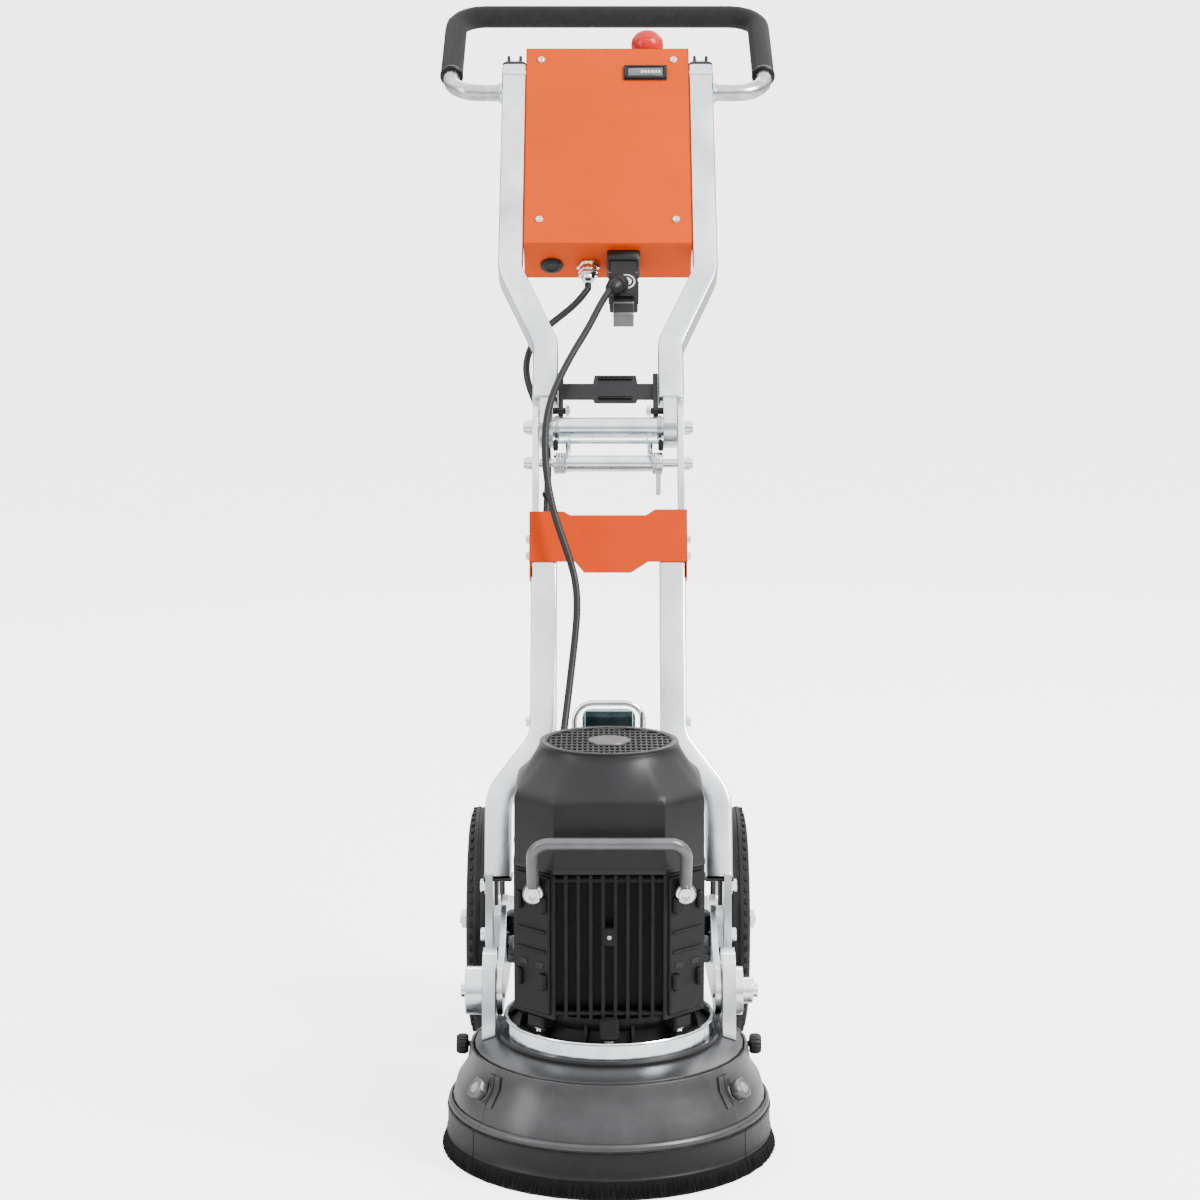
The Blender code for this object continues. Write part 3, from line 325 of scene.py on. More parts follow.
def shape_radius(shape, radius, t):
    """A round or six-sided outline; radius is across the flats for the hexagon."""
    if shape == "c":
        return radius
    part = (t % (math.pi / 3)) - math.pi / 6
    return radius / math.cos(part)


def add_turned(bm, profile, origin, direction, steps=24):
    """A turned or six-sided solid: (radius, height) or (radius, height, "h") stations."""
    at = aimed(origin, direction)
    rings = []
    for station in profile:
        r, z, shape = (*station, "c")[:3]
        turns = [2 * math.pi * k / steps for k in range(steps)]
        radii = [shape_radius(shape, r, t) for t in turns]
        rings.append([at @ Vector((q * math.cos(t), q * math.sin(t), z)) for q, t in zip(radii, turns)])
    add_loft(bm, rings)


def add_ring(bm, outline, origin, direction, steps=48, start=0.0, end=360.0):
    """A closed (radius, height) outline turned all the way or over a sector."""
    at = aimed(origin, direction)
    whole = end - start > 359.9
    rings = []
    for k in range(steps if whole else steps + 1):
        t = math.radians(start + (end - start) * k / steps)
        rings.append([at @ Vector((r * math.cos(t), r * math.sin(t), z)) for r, z in outline])
    add_loft(bm, rings, whole)


def add_block(bm, a, b, c, where, edge=0.0):
    """A block with cut edges, from its three spans in one of the frames."""
    edge = min(edge, (a[1] - a[0]) / 3, (b[1] - b[0]) / 3, (c[1] - c[0]) / 3)

    def outline(inset, corner):
        x0, x1, y0, y1 = a[0] + inset, a[1] - inset, b[0] + inset, b[1] - inset
        return [(x0 + corner, y0), (x1 - corner, y0), (x1, y0 + corner), (x1, y1 - corner),
                (x1 - corner, y1), (x0 + corner, y1), (x0, y1 - corner), (x0, y0 + corner)]

    if edge <= 0:
        flat = [(a[0], b[0]), (a[1], b[0]), (a[1], b[1]), (a[0], b[1])]
        add_loft(bm, [[where(x, y, z) for x, y in flat] for z in c])
        return
    levels = [(c[0], edge), (c[0] + edge, 0.0), (c[1] - edge, 0.0), (c[1], edge)]
    add_loft(bm, [[where(x, y, z) for x, y in outline(inset, edge)] for z, inset in levels])


def smooth_line(points, step):
    """A smooth curve through points, with stations about a step apart."""
    ends = [points[0] * 2 - points[1]] + list(points) + [points[-1] * 2 - points[-2]]
    line = []
    for a, b, c, d in zip(ends, ends[1:], ends[2:], ends[3:]):
        count = max(1, round((c - b).length / step))
        for k in range(count):
            t = k / count
            line.append((2 * b + (c - a) * t + (2 * a - 5 * b + 4 * c - d) * t**2
                    + (3 * b - a - 3 * c + d) * t**3) / 2)
    line.append(points[-1])
    return line


def add_wire(bm, points, radius, sides=12, closed=False):
    """A round bar or lead along points, its rings turned as little as possible."""
    rings = []
    up = None
    count = len(points)
    for k, p in enumerate(points):
        after = points[(k + 1) % count] if closed else points[min(k + 1, count - 1)]
        before = points[k - 1] if closed or k else p
        along = (after - before).normalized()
        if up is None:
            up = along.orthogonal().normalized()
        across = along.cross(up).normalized()
        up = across.cross(along).normalized()
        r = radius(k / (count - 1)) if callable(radius) else radius
        turns = [2 * math.pi * n / sides for n in range(sides)]
        rings.append([p + (across * math.cos(t) + up * math.sin(t)) * r for t in turns])
    add_loft(bm, rings, closed)


HEADS = {
    "hex": lambda a,
        h: [(a * 1.45, 0.0), (a * 1.45, h * 0.16), (a * 1.4, h * 0.2), (a, h * 0.2, "h"), (a, h * 0.86, "h"),
        (a * 0.94, h), (a * 0.5, h), (a * 0.44, h * 0.94)],
    "socket": lambda a, h: [(a * 1.3, 0.0), (a * 1.3, h * 0.14), (a, h * 0.14), (a, h * 0.9), (a * 0.92, h),
        (a * 0.56, h), (a * 0.48, h * 0.97, "h"), (a * 0.46, h * 0.45, "h")],
    "pan": lambda a,
        h: [(a, 0.0), (a, h * 0.3), (a * 0.88, h * 0.72), (a * 0.62, h), (a * 0.4, h),
        (a * 0.34, h * 0.95, "h"),
        (a * 0.3, h * 0.45, "h")],
    "nut": lambda a,
        h: [(a * 1.4, 0.0), (a * 1.4, h * 0.12), (a, h * 0.14, "h"), (a, h * 0.7, "h"), (a * 0.95, h * 0.78),
        (a * 0.6, h * 0.8), (a * 0.58, h * 0.98), (a * 0.5, h)],
}


def fasteners(name, owner, shade, rows):
    """Screw heads and nuts of one finish on one body: (kind, point, direction, radius, height)."""
    bm = bmesh.new()
    for kind, point, direction, a, h in rows:
        add_turned(bm, HEADS[kind](a, h), point, direction, 24)
    return shown(name, bm, shade, owner, 32)


# Camera

def build_camera():
    data = bpy.data.cameras.new("camera")
    data.lens = CAMERA_LENS_MM
    data.sensor_width = 36.0
    camera = bpy.data.objects.new("camera", data)
    bpy.context.scene.collection.objects.link(camera)
    camera.location = CAMERA_AT
    camera.rotation_euler = (CAMERA_TILT, 0, 0)
    bpy.context.scene.camera = camera


# Leads

MOTOR_LEAD = [
    (0.0036, 0.5189, 0.8885), (-0.0016, 0.5119, 0.8852), (-0.0082, 0.502, 0.879), (-0.013, 0.49, 0.867),
    (-0.02, 0.471, 0.848), (-0.0334, 0.45, 0.8323), (-0.0498, 0.425, 0.8044), (-0.0614, 0.4, 0.7824),
    (-0.0705, 0.376, 0.7605), (-0.0735, 0.358, 0.7387), (-0.0745, 0.345, 0.7111), (-0.0722, 0.334, 0.6834),
    (-0.0674, 0.323, 0.6557), (-0.0604, 0.31, 0.6335), (-0.0487, 0.295, 0.6033), (-0.0383, 0.285, 0.5792),
    (-0.0337, 0.274, 0.5518), (-0.036, 0.2616, 0.5244), (-0.0403, 0.245, 0.4873), (-0.0447, 0.226, 0.4506),
    (-0.049, 0.203, 0.4187), (-0.054, 0.178, 0.3803), (-0.052, 0.154, 0.348), (-0.044, 0.134, 0.323),
    (-0.042, 0.13, 0.313), (-0.042, 0.13, 0.3006),
]
SUPPLY_LEAD = [
    (-0.0243, 0.57, 0.893), (-0.025, 0.561, 0.8825), (-0.033, 0.554, 0.87), (-0.052, 0.548, 0.858),
    (-0.072, 0.546, 0.847), (-0.087, 0.538, 0.835), (-0.0975, 0.52, 0.8181), (-0.101, 0.495, 0.796),
    (-0.0965, 0.468, 0.775), (-0.085, 0.449, 0.756), (-0.074, 0.433, 0.732), (-0.071, 0.417, 0.702),
    (-0.071, 0.402, 0.67), (-0.072, 0.387, 0.638), (-0.074, 0.374, 0.61), (-0.0745, 0.36, 0.58),
    (-0.0745, 0.349, 0.556), (-0.0745, 0.3368, 0.542),
]


def relaxed(line, passes=40):
    """The same line with its small waves evened out and its ends held."""
    for _ in range(passes):
        middle = [(a + b * 2 + c) / 4 for a, b, c in zip(line, line[1:], line[2:])]
        line = line[:2] + middle[1:-1] + line[-2:]
    return line


def length_of(line):
    return sum((b - a).length for a, b in zip(line, line[1:]))


def lead(name, line, node, bodies, start, end):
    bm = bmesh.new()
    add_wire(bm, line, CABLE_R, 14)
    piece = shown(name, bm, CABLE, None, 60)
    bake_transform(piece)
    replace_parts(piece, node)
    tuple(line[0])
    length_of(line)
    [list(p) for p in line]
    return piece


def build_leads():
    whole = relaxed(smooth_line([place(*p) for p in MOTOR_LEAD], 0.006))
    joint = min(range(len(whole)), key=lambda k: abs(whole[k].z - 0.5244))
    fold_span = {"start": place(0, 0.366, 0.69), "end": place(0, 0.422, 0.787)}
    lead("motor_cable_upper", whole[:joint + 1], "motor_lead_upper", ("chassis", "upper_frame"), **fold_span)
    lead("motor_cable_lower", whole[joint:], "motor_lead_lower", ("head", "chassis"),
         start=place(0, 0.13, 0.32), end=place(0, 0.2, 0.42))
    line = relaxed(smooth_line([place(*p) for p in SUPPLY_LEAD], 0.006))
    lead("supply_cable", line, "supply_lead", ("chassis", "upper_frame"), **fold_span)


# Grinding head

def build_hood_details():
    origin = place(0, 0, 0)
    bm = bmesh.new()
    add_ring(bm, [(0.1113, 0.1213), (0.118, 0.1213), (0.118, 0.1242), (0.116, 0.1262), (0.1113, 0.1262)],
            origin, UP, 72)
    shown("band_gasket", bm, BLACK, "head")
    bm = bmesh.new()
    add_ring(bm, [(0.1083, 0.1418), (0.112, 0.1418), (0.1124, 0.143), (0.1116, 0.1442), (0.1085, 0.1442)],
            origin, UP, 96)
    add_block(bm, (-0.004, 0.004), (0.1112, 0.115), (0.1275, 0.14), place, 0.001)
    shown("band_ring_lip", bm, BRIGHT_ZINC, "head")
    lip = [(0.168, 0.0487), (0.1716, 0.0493), (0.1722, 0.0515), (0.1712, 0.054), (0.1685, 0.056),
           (0.1672, 0.054)]
    for name, owner, start, end in (("front_lip", "front_skirt", -52, 52), ("rear_lip", "head", 52.2, 307.8)):
        bm = bmesh.new()
        add_ring(bm, lip, origin, UP, 72 if owner == "head" else 36, start - 90, end - 90)
        shown(name, bm, HOOD_GREY, owner)
    seam = [(0.15, 0.104), (0.152, 0.09), (0.1632, 0.073), (0.164, 0.074), (0.1535, 0.0905), (0.1512, 0.1042)]
    for side, name in SIDES:
        for owner, low, high in (("front_skirt", 48.6, 51.8), ("head", 52.3, 56.0)):
            span = sorted((side * low, side * high))
            bm = bmesh.new()
            add_ring(bm, seam, origin, UP, 6, span[0] - 90, span[1] - 90)
            shown(f"{owner}_seam_strap_{name}", bm, HOOD_GREY, owner)


def build_bristles():
    """Clumped nylon hairs round the skirt, longest outwards."""
    rng = random.Random(11)
    for name, owner, start, end in (("front_bristles", "front_skirt", -54.8, 54.8),
            ("rear_bristles", "head", 55.2, 304.8)):
        bm = bmesh.new()
        count = int((end - start) * 5.2)
        for row, (top_r, low_r) in enumerate(((0.1724, 0.1783), (0.1708, 0.1762), (0.168, 0.1725))):
            for k in range(count):
                clump = math.sin(k * 1.1 + row) * 0.05
                a = start + (end - start) * (k + 0.5) / count - 90
                t0 = math.radians(a)
                t1 = math.radians(a + clump + rng.uniform(-0.22, 0.22))
                reach = low_r + rng.uniform(-0.0012, 0.001)
                tip = rng.uniform(0.0002, 0.0022)
                top = place(top_r * math.cos(t0), top_r * math.sin(t0), 0.02)
                low = place(reach * math.cos(t1), reach * math.sin(t1), tip)
                thick = 0.00042
                out = Vector((math.cos(t0), math.sin(t0), 0)) * thick
                side = Vector((-math.sin(t0), math.cos(t0), 0)) * thick
                rings = [[p + out * s, p - (out * 0.5 - side) * s, p - (out * 0.5 + side) * s]
                        for p, s in ((top, 1.25), (low, 0.75))]
                add_loft(bm, rings)
        shown(name, bm, BRISTLE, owner, 60)
        rail = bmesh.new()
        steps = 96 if owner == "head" else 44
        outline = [(0.1716, 0.018), (0.1738, 0.0184), (0.1742, 0.02), (0.173, 0.0216), (0.1726, 0.044),
                (0.1734, 0.0452),
                (0.173, 0.047), (0.1716, 0.0474)]
        add_ring(rail, outline, place(0, 0, 0), UP, steps, start - 90, end - 90)
        shown(name.replace("bristles", "brush_rail"), rail, BLACK, owner)


def build_skirt_hardware():
    rise = math.radians(33)
    for side, name in SIDES:
        t = math.radians(57.5)
        flat = Vector((side * math.sin(t), -math.cos(t), 0))
        base = place(*(flat * 0.1559 + Vector((0, 0, 0.084))))
        out = (flat * math.cos(rise) + UP * math.sin(rise)).normalized()
        bm = bmesh.new()
        add_turned(bm,
                [(0.009, 0.003), (0.0102, 0.0034, "h"), (0.0104, 0.0046, "h"), (0.0104, 0.0118, "h"),
                (0.0098, 0.013), (0.0062, 0.0132),
                (0.0056, 0.0124)], base, out, 24)
        shown(f"pin_head_{name}", bm, HANDLE_GREY, f"release_pin_{name}")
        bm = bmesh.new()
        add_turned(bm, [(0.0128, -0.0012), (0.013, 0.0006), (0.0118, 0.0022), (0.007, 0.0026)], base, out, 28)
        shown(f"pin_bush_{name}", bm, HOOD_GREY, "head")
        bm = bmesh.new()
        rings = []
        for r, x in ((0.0086, 0.1514), (0.0104, 0.154), (0.0106, 0.157), (0.0104, 0.161), (0.0086, 0.1642)):
            ring = []
            for k in range(48):
                a = 2 * math.pi * k / 48
                q = r * (1 + 0.05 * math.cos(16 * a))
                ring.append(place(side * x, 0.02 + q * math.cos(a), 0.1025 + q * math.sin(a)))
            rings.append(ring)
        add_loft(bm, rings)
        shown(f"knob_grip_{name}", bm, BLACK, f"side_knob_{name}", 25)


def build_dust_port():
    bm = bmesh.new()
    add_ring(bm, [(0.0232, 0.149), (0.0262, 0.1495), (0.0248, 0.153), (0.0234, 0.1545)], place(0, 0, 0.085),
            -FRONT, 36)
    for y in (0.17, 0.176, 0.182):
        add_ring(bm, [(0.0233, y), (0.0242, y + 0.001), (0.0242, y + 0.002), (0.0233, y + 0.003)],
                place(0, 0, 0.085), -FRONT, 36)
    shown("port_beads", bm, HOOD_GREY, "head")
    bm = bmesh.new()
    add_ring(bm, [(0.0249, 0.2245), (0.0262, 0.225), (0.0264, 0.229), (0.0256, 0.2312), (0.0249, 0.2312)],
            place(0, 0, 0.085),
            -FRONT, 36)
    shown("port_seal", bm, BLACK, "head")


# Motor

def cowl_ring(half, facet, z, roundness, steps=96):
    """An eight-sided outline whose corners are eased towards a circle."""
    points = []
    for k in range(steps):
        t = 2 * math.pi * k / steps
        c, s = abs(math.cos(t)), abs(math.sin(t))
        flat = min(half / max(c, s), (half + facet) / (c + s))
        r = flat * (1 - roundness) + half * roundness
        points.append(place(r * math.cos(t), r * math.sin(t), z))
    return points


def build_cowl():
    """The fan cowl: eight soft sides, a round shoulder and an open top for the grille."""
    def level(half, z, roundness, inset=0.0):
        return cowl_ring(half - inset, (half - inset) * math.tan(math.radians(30)), z, roundness)

    outside = [level(0.0995, 0.3203, 0.0), level(0.0998, 0.3212, 0.0), level(0.0998, 0.326, 0.0),
            level(0.099, 0.3268, 0.0),
            level(0.099, 0.39, 0.02), level(0.0984, 0.395, 0.06), level(0.0968, 0.399, 0.12),
            level(0.094, 0.403, 0.22),
            level(0.09, 0.4088, 0.4), level(0.085, 0.4165, 0.6), level(0.08, 0.4245, 0.8),
            level(0.0762, 0.431, 0.95),
            level(0.0742, 0.4355, 1.0), level(0.0735, 0.4385, 1.0), level(0.0722, 0.4395, 1.0),
            level(0.0658, 0.4395, 1.0)]
    inside = [level(0.0658, 0.4365, 1.0), level(0.072, 0.433, 1.0), level(0.09, 0.403, 0.3),
            level(0.0962, 0.39, 0.05),
            level(0.0966, 0.3203, 0.0)]
    bm = bmesh.new()
    add_loft(bm, outside + inside, True)
    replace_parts(shown("cowl_shell", bm, COWL_GREY, "head", 28), "fan_cowl")


def build_grille():
    """Slats over the cowl's openings, a hub disc and a rim."""
    bm = bmesh.new()
    reach = 0.0655
    pitch = 0.0056
    count = int(reach / pitch)
    for k in range(-count, count + 1):
        x = k * pitch
        y = math.sqrt(reach**2 - x**2)
        add_block(bm, (x - 0.0009, x + 0.0009), (-y, y), (0.4368, 0.4392), place, 0.0003)
    for k in range(-4, 5):
        y = k * 0.0143
        x = math.sqrt(0.069**2 - y**2)
        add_block(bm, (-x, x), (y + 0.0058, y + 0.0084), (0.4374, 0.4402), place, 0.0005)
    shown("grille_slats", bm, GRILLE_BLACK, "head")
    bm = bmesh.new()
    add_ring(bm,
            [(0.0652, 0.439), (0.0688, 0.4398), (0.0722, 0.4398), (0.0735, 0.4384), (0.0728, 0.4412),
            (0.069, 0.4418),
            (0.0656, 0.4408)], place(0, 0, 0), UP, 72)
    shown("grille_rim", bm, COWL_GREY, "head")
    bm = bmesh.new()
    add_turned(bm,
            [(0.0215, 0.4385), (0.0222, 0.44), (0.0216, 0.4414), (0.012, 0.442), (0.008, 0.4412),
            (0.005, 0.441)],
            place(0, 0, 0), UP, 36)
    shown("grille_hub", bm, HANDLE_GREY, "head")


def build_housing_details():
    bm = bmesh.new()
    for corner in range(4):
        def where(u, out, z, corner=corner):
            return slope(corner, u, out, z)
        add_block(bm, (-0.0255, 0.0255), (-0.001, 0.003), (0.17, 0.3165), where, 0.0018)
        for low, high in ((0.196, 0.214), (0.278, 0.296)):
            add_block(bm, (-0.0225, -0.013), (0.002, 0.0075), (low, high), where, 0.002)
            add_block(bm, (0.013, 0.0225), (0.002, 0.0075), (low, high), where, 0.002)
        add_block(bm, (-0.012, 0.012), (-0.02, -0.001), (0.151, 0.1655), where, 0.002)
        for z in (0.235, 0.256):
            add_block(bm, (-0.0215, 0.0215), (0.002, 0.0048), (z, z + 0.0035), where, 0.001)
    shown("housing_pads", bm, CAST_GREY, "head")
    # Thin black sheets on each pad paint the shade inside its two slots.
    bm = bmesh.new()
    for corner in range(4):
        def where(u, out, z, corner=corner):
            return slope(corner, u, out, z)
        for u in (-0.018, 0.006):
            add_block(bm, (u, u + 0.012), (0.0024, 0.0036), (0.2185, 0.2255), where, 0.001)
    shown("pad_slot_painted_shade", bm, BLACK, "head")
    bm = bmesh.new()
    add_block(bm, (-0.01, 0.01), (-0.107, -0.095), (0.145, 0.169), place, 0.0025)
    add_block(bm, (-0.0078, 0.0078), (-0.1005, -0.085), (0.244, 0.264), place, 0.0015)
    for z in (0.311, 0.17):
        add_block(bm, (-MOTOR_FACET, MOTOR_FACET), (-0.0975, -0.084), (z, z + 0.005), place, 0.001)
    shown("housing_bosses", bm, CAST_GREY, "head")
    bm = bmesh.new()
    add_ring(bm, [(0.0925, 0.134), (0.105, 0.1298), (0.1062, 0.131), (0.1056, 0.1332), (0.0945, 0.1372)],
            place(0, 0, 0), UP, 72)
    for k in range(12):
        t = math.radians(30 * k + 15)
        c, s = math.cos(t), math.sin(t)

        def where(u, r, z, c=c, s=s):
            return place(r * c - u * s, r * s + u * c, z)
        flat = [(0.0868, 0.144), (0.0945, 0.1345), (0.0985, 0.1345), (0.0965, 0.145), (0.094, 0.1585),
                (0.089, 0.152)]
        add_loft(bm, [[where(u, r, z) for r, z in flat] for u in (-0.0018, 0.0018)])
    shown("bell_ribs", bm, CAST_GREY, "head")


def build_motor_hardware():
    rows = []
    for corner in range(4):
        rows.append(("hex", slope(corner, 0.0, -0.01, 0.1508), -UP, 0.0046, 0.0052))
    rows.append(("hex", place(0, -0.101, 0.145), -UP, 0.0046, 0.005))
    rows.append(("pan", place(0, -0.1005, 0.254), FRONT, 0.0026, 0.0018))
    for x, y in ((-0.046, 0.208), (0.046, 0.208), (-0.046, 0.292), (0.046, 0.292)):
        rows.append(("pan", place(x, 0.1502, y), -FRONT, 0.0038, 0.0024))
    for side, _ in SIDES:
        rows.append(("pan", place(side * 0.099, 0.0, 0.333), RIGHT * side, 0.0036, 0.0022))
    for x in (-0.021, 0.021):
        rows.append(("pan", place(x, 0.104, 0.312), -FRONT, 0.004, 0.0026))
    fasteners("motor_screws", "head", STEEL, rows)
    rows = [("socket", place(side * 0.0785, -0.0945, 0.2985), FRONT, 0.0074, 0.0075) for side, _ in SIDES]
    fasteners("handle_bolts", "head", CHROME, rows)
    bm = bmesh.new()
    for side, _ in SIDES:
        add_turned(bm, [(0.0105, 0.0), (0.0112, 0.0008), (0.0112, 0.005), (0.0104, 0.006)],
                place(side * 0.0785, -0.0885, 0.2985),
                FRONT, 24)
        add_block(bm, (side * 0.0785 - 0.006, side * 0.0785 + 0.006), (-0.093, -0.08), (0.288, 0.305), place,
                0.0015)
    shown("handle_lugs", bm, HANDLE_GREY, "head")
    bm = bmesh.new()
    add_block(bm, (-0.056, 0.056), (0.1478, 0.1502), (0.1985, 0.3015), place, 0.0012)
    add_block(bm, (-0.0575, 0.0575), (0.137, 0.1392), (0.1965, 0.3035), place, 0.001)
    shown("terminal_lid", bm, CAST_GREY, "head")
    bm = bmesh.new()
    add_turned(bm,
            [(0.0098, 0.0, "h"), (0.01, 0.001, "h"), (0.01, 0.006, "h"), (0.009, 0.007), (0.0086, 0.013),
            (0.0066, 0.0175), (0.0046, 0.018)], place(-0.042, 0.13, 0.3003), UP, 24)
    shown("terminal_gland", bm, BLACK, "head")
    bm = bmesh.new()
    add_block(bm, (-0.0262, 0.0262), (0.0978, 0.0996), (0.414, 0.453), place, 0.0008)
    shown("lifting_plate", bm, TEAL_ZINC, "head")
    bm = bmesh.new()
    add_block(bm, (0.0335, 0.0385), (0.101, 0.1045), (0.4, 0.452), place, 0.001)
    for x in (-0.0375, 0.0375):
        add_turned(bm, [(0.0052, 0.0), (0.0055, 0.001), (0.0055, 0.005), (0.0045, 0.0062), (0.0034, 0.0064)],
                place(x, 0.11, 0.3398), UP, 18)
    shown("lifting_collars", bm, ZINC, "head")


# Chassis

def build_foot_hardware():
    rows = []
    for side, _ in SIDES:
        out = RIGHT * side
        rows += [("hex", place(side * 0.1385, 0.19, z), out, 0.0068, 0.0065) for z in (0.176, 0.233)]
        rows += [("hex", place(side * 0.0914, p.y - AXIS_Y, p.z), out, 0.0042, 0.0048)
                for p in (lower(0, 0.376, 0.0), lower(0, 0.396, 0.0))]
        rows.append(("hex", place(side * 0.0896, 0.261, 0.408), out, 0.0046, 0.005))
        rows.append(("nut", place(side * 0.1693, *AXLE), out, 0.01, 0.01))
        rows += [("hex", place(side * 0.1205, y, z), out, 0.005, 0.005) for y,
                z in ((0.12, 0.16), (0.27, 0.16))]
        rows.append(("socket", place(side * (0.1535 if side < 0 else 0.1545), *HEAD_PIVOT), out, 0.0075,
                0.006))
    fasteners("chassis_bolts", "chassis", BRIGHT_ZINC, rows)
    bm = bmesh.new()
    for side, _ in SIDES:
        spans = sorted((side * 0.0985, side * 0.1137))
        add_block(bm, spans, (0.16, 0.184), (0.185, 0.208), place, 0.0025)
        low, high = sorted((side * 0.1085, side * 0.1415))
        add_block(bm, (low, high), (0.1765, 0.2095), (0.241, 0.2444), place, 0.0015)
    shown("frame_buffers", bm, BLACK, "chassis")
    bm = bmesh.new()
    for side, _ in SIDES:
        spans = sorted((side * 0.096, side * 0.1138))
        add_block(bm, spans, (0.159, 0.185), (0.151, 0.1845), place, 0.0015)
    shown("buffer_brackets", bm, ZINC, "chassis")
    rows = [("nut", place(side * 0.1045, 0.1588, 0.168), FRONT, 0.0062, 0.007) for side, _ in SIDES]
    fasteners("buffer_nuts", "chassis", STEEL, rows)


def build_wheels():
    for side, name in SIDES:
        owner = f"wheel_{name}"
        hub = place(side * 0.1285, *AXLE)
        out = RIGHT * side
        bm = bmesh.new()
        for z in (0.0105, 0.019, 0.0275):
            add_ring(bm, [(0.134, z - 0.0028), (0.1362, z - 0.002), (0.1362, z + 0.002), (0.134, z + 0.0028)],
                    hub, out, 96)
        lugs = 60
        for k in range(lugs):
            t = 2 * math.pi * k / lugs
            c, s = math.cos(t), math.sin(t)
            for low, high in ((0.004, 0.0075), (0.0305, 0.034)):
                rings = []
                for r, half in ((0.129, 0.0034), (0.1352, 0.0026)):
                    corners = ((-half, low), (half, low), (half, high), (-half, high))
                    rings.append([hub + out * z + Vector((0, r * c - u * s, r * s + u * c)) for u,
                            z in corners])
                add_loft(bm, rings)
        for low, high in ((0.0002, 0.0022), (0.0358, 0.0378)):
            add_ring(bm, [(0.113, low), (0.116, low), (0.1155, high), (0.1135, high)], hub, out, 72)
        shown(f"tread_{name}", bm, RUBBER, owner)
        bm = bmesh.new()
        add_ring(bm, [(0.0965, 0.033), (0.1002, 0.0318), (0.1012, 0.0332), (0.1006, 0.0348), (0.097, 0.0346)],
                hub, out, 72)
        add_ring(bm, [(0.056, 0.0216), (0.06, 0.0216), (0.059, 0.024), (0.057, 0.024)], hub, out, 60)
        for k in range(6):
            t = math.radians(60 * k)
            c, s = math.cos(t), math.sin(t)

            def where(u, r, z, c=c, s=s):
                return hub + out * z + Vector((0, r * c - u * s, r * s + u * c))
            add_block(bm, (-0.005, 0.005), (0.0325, 0.086), (0.0212, 0.0242), where, 0.0012)
        shown(f"rim_ribs_{name}", bm, ZINC, owner)
        rows = []
        for k in range(5):
            t = math.radians(72 * k + 18)
            rows.append(("hex", hub + out * 0.0358 + Vector((0, 0.0215 * math.cos(t), 0.0215 * math.sin(t))),
                    out, 0.003, 0.0035))
        fasteners(f"hub_bolts_{name}", owner, STEEL, rows)


def build_torsion_springs():
    """Steel copies of the CAD springs, which stand in for them."""
    for _, name in SIDES:
        node = NODES[f"torsion_spring_{name}"]
        bm = bmesh.new()
        bm.from_mesh(node.data)
        bm.transform(node.matrix_world)
        piece = shown(f"spring_wire_{name}", bm, STEEL, None, 60)
        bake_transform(piece)
        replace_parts(piece, node.name)


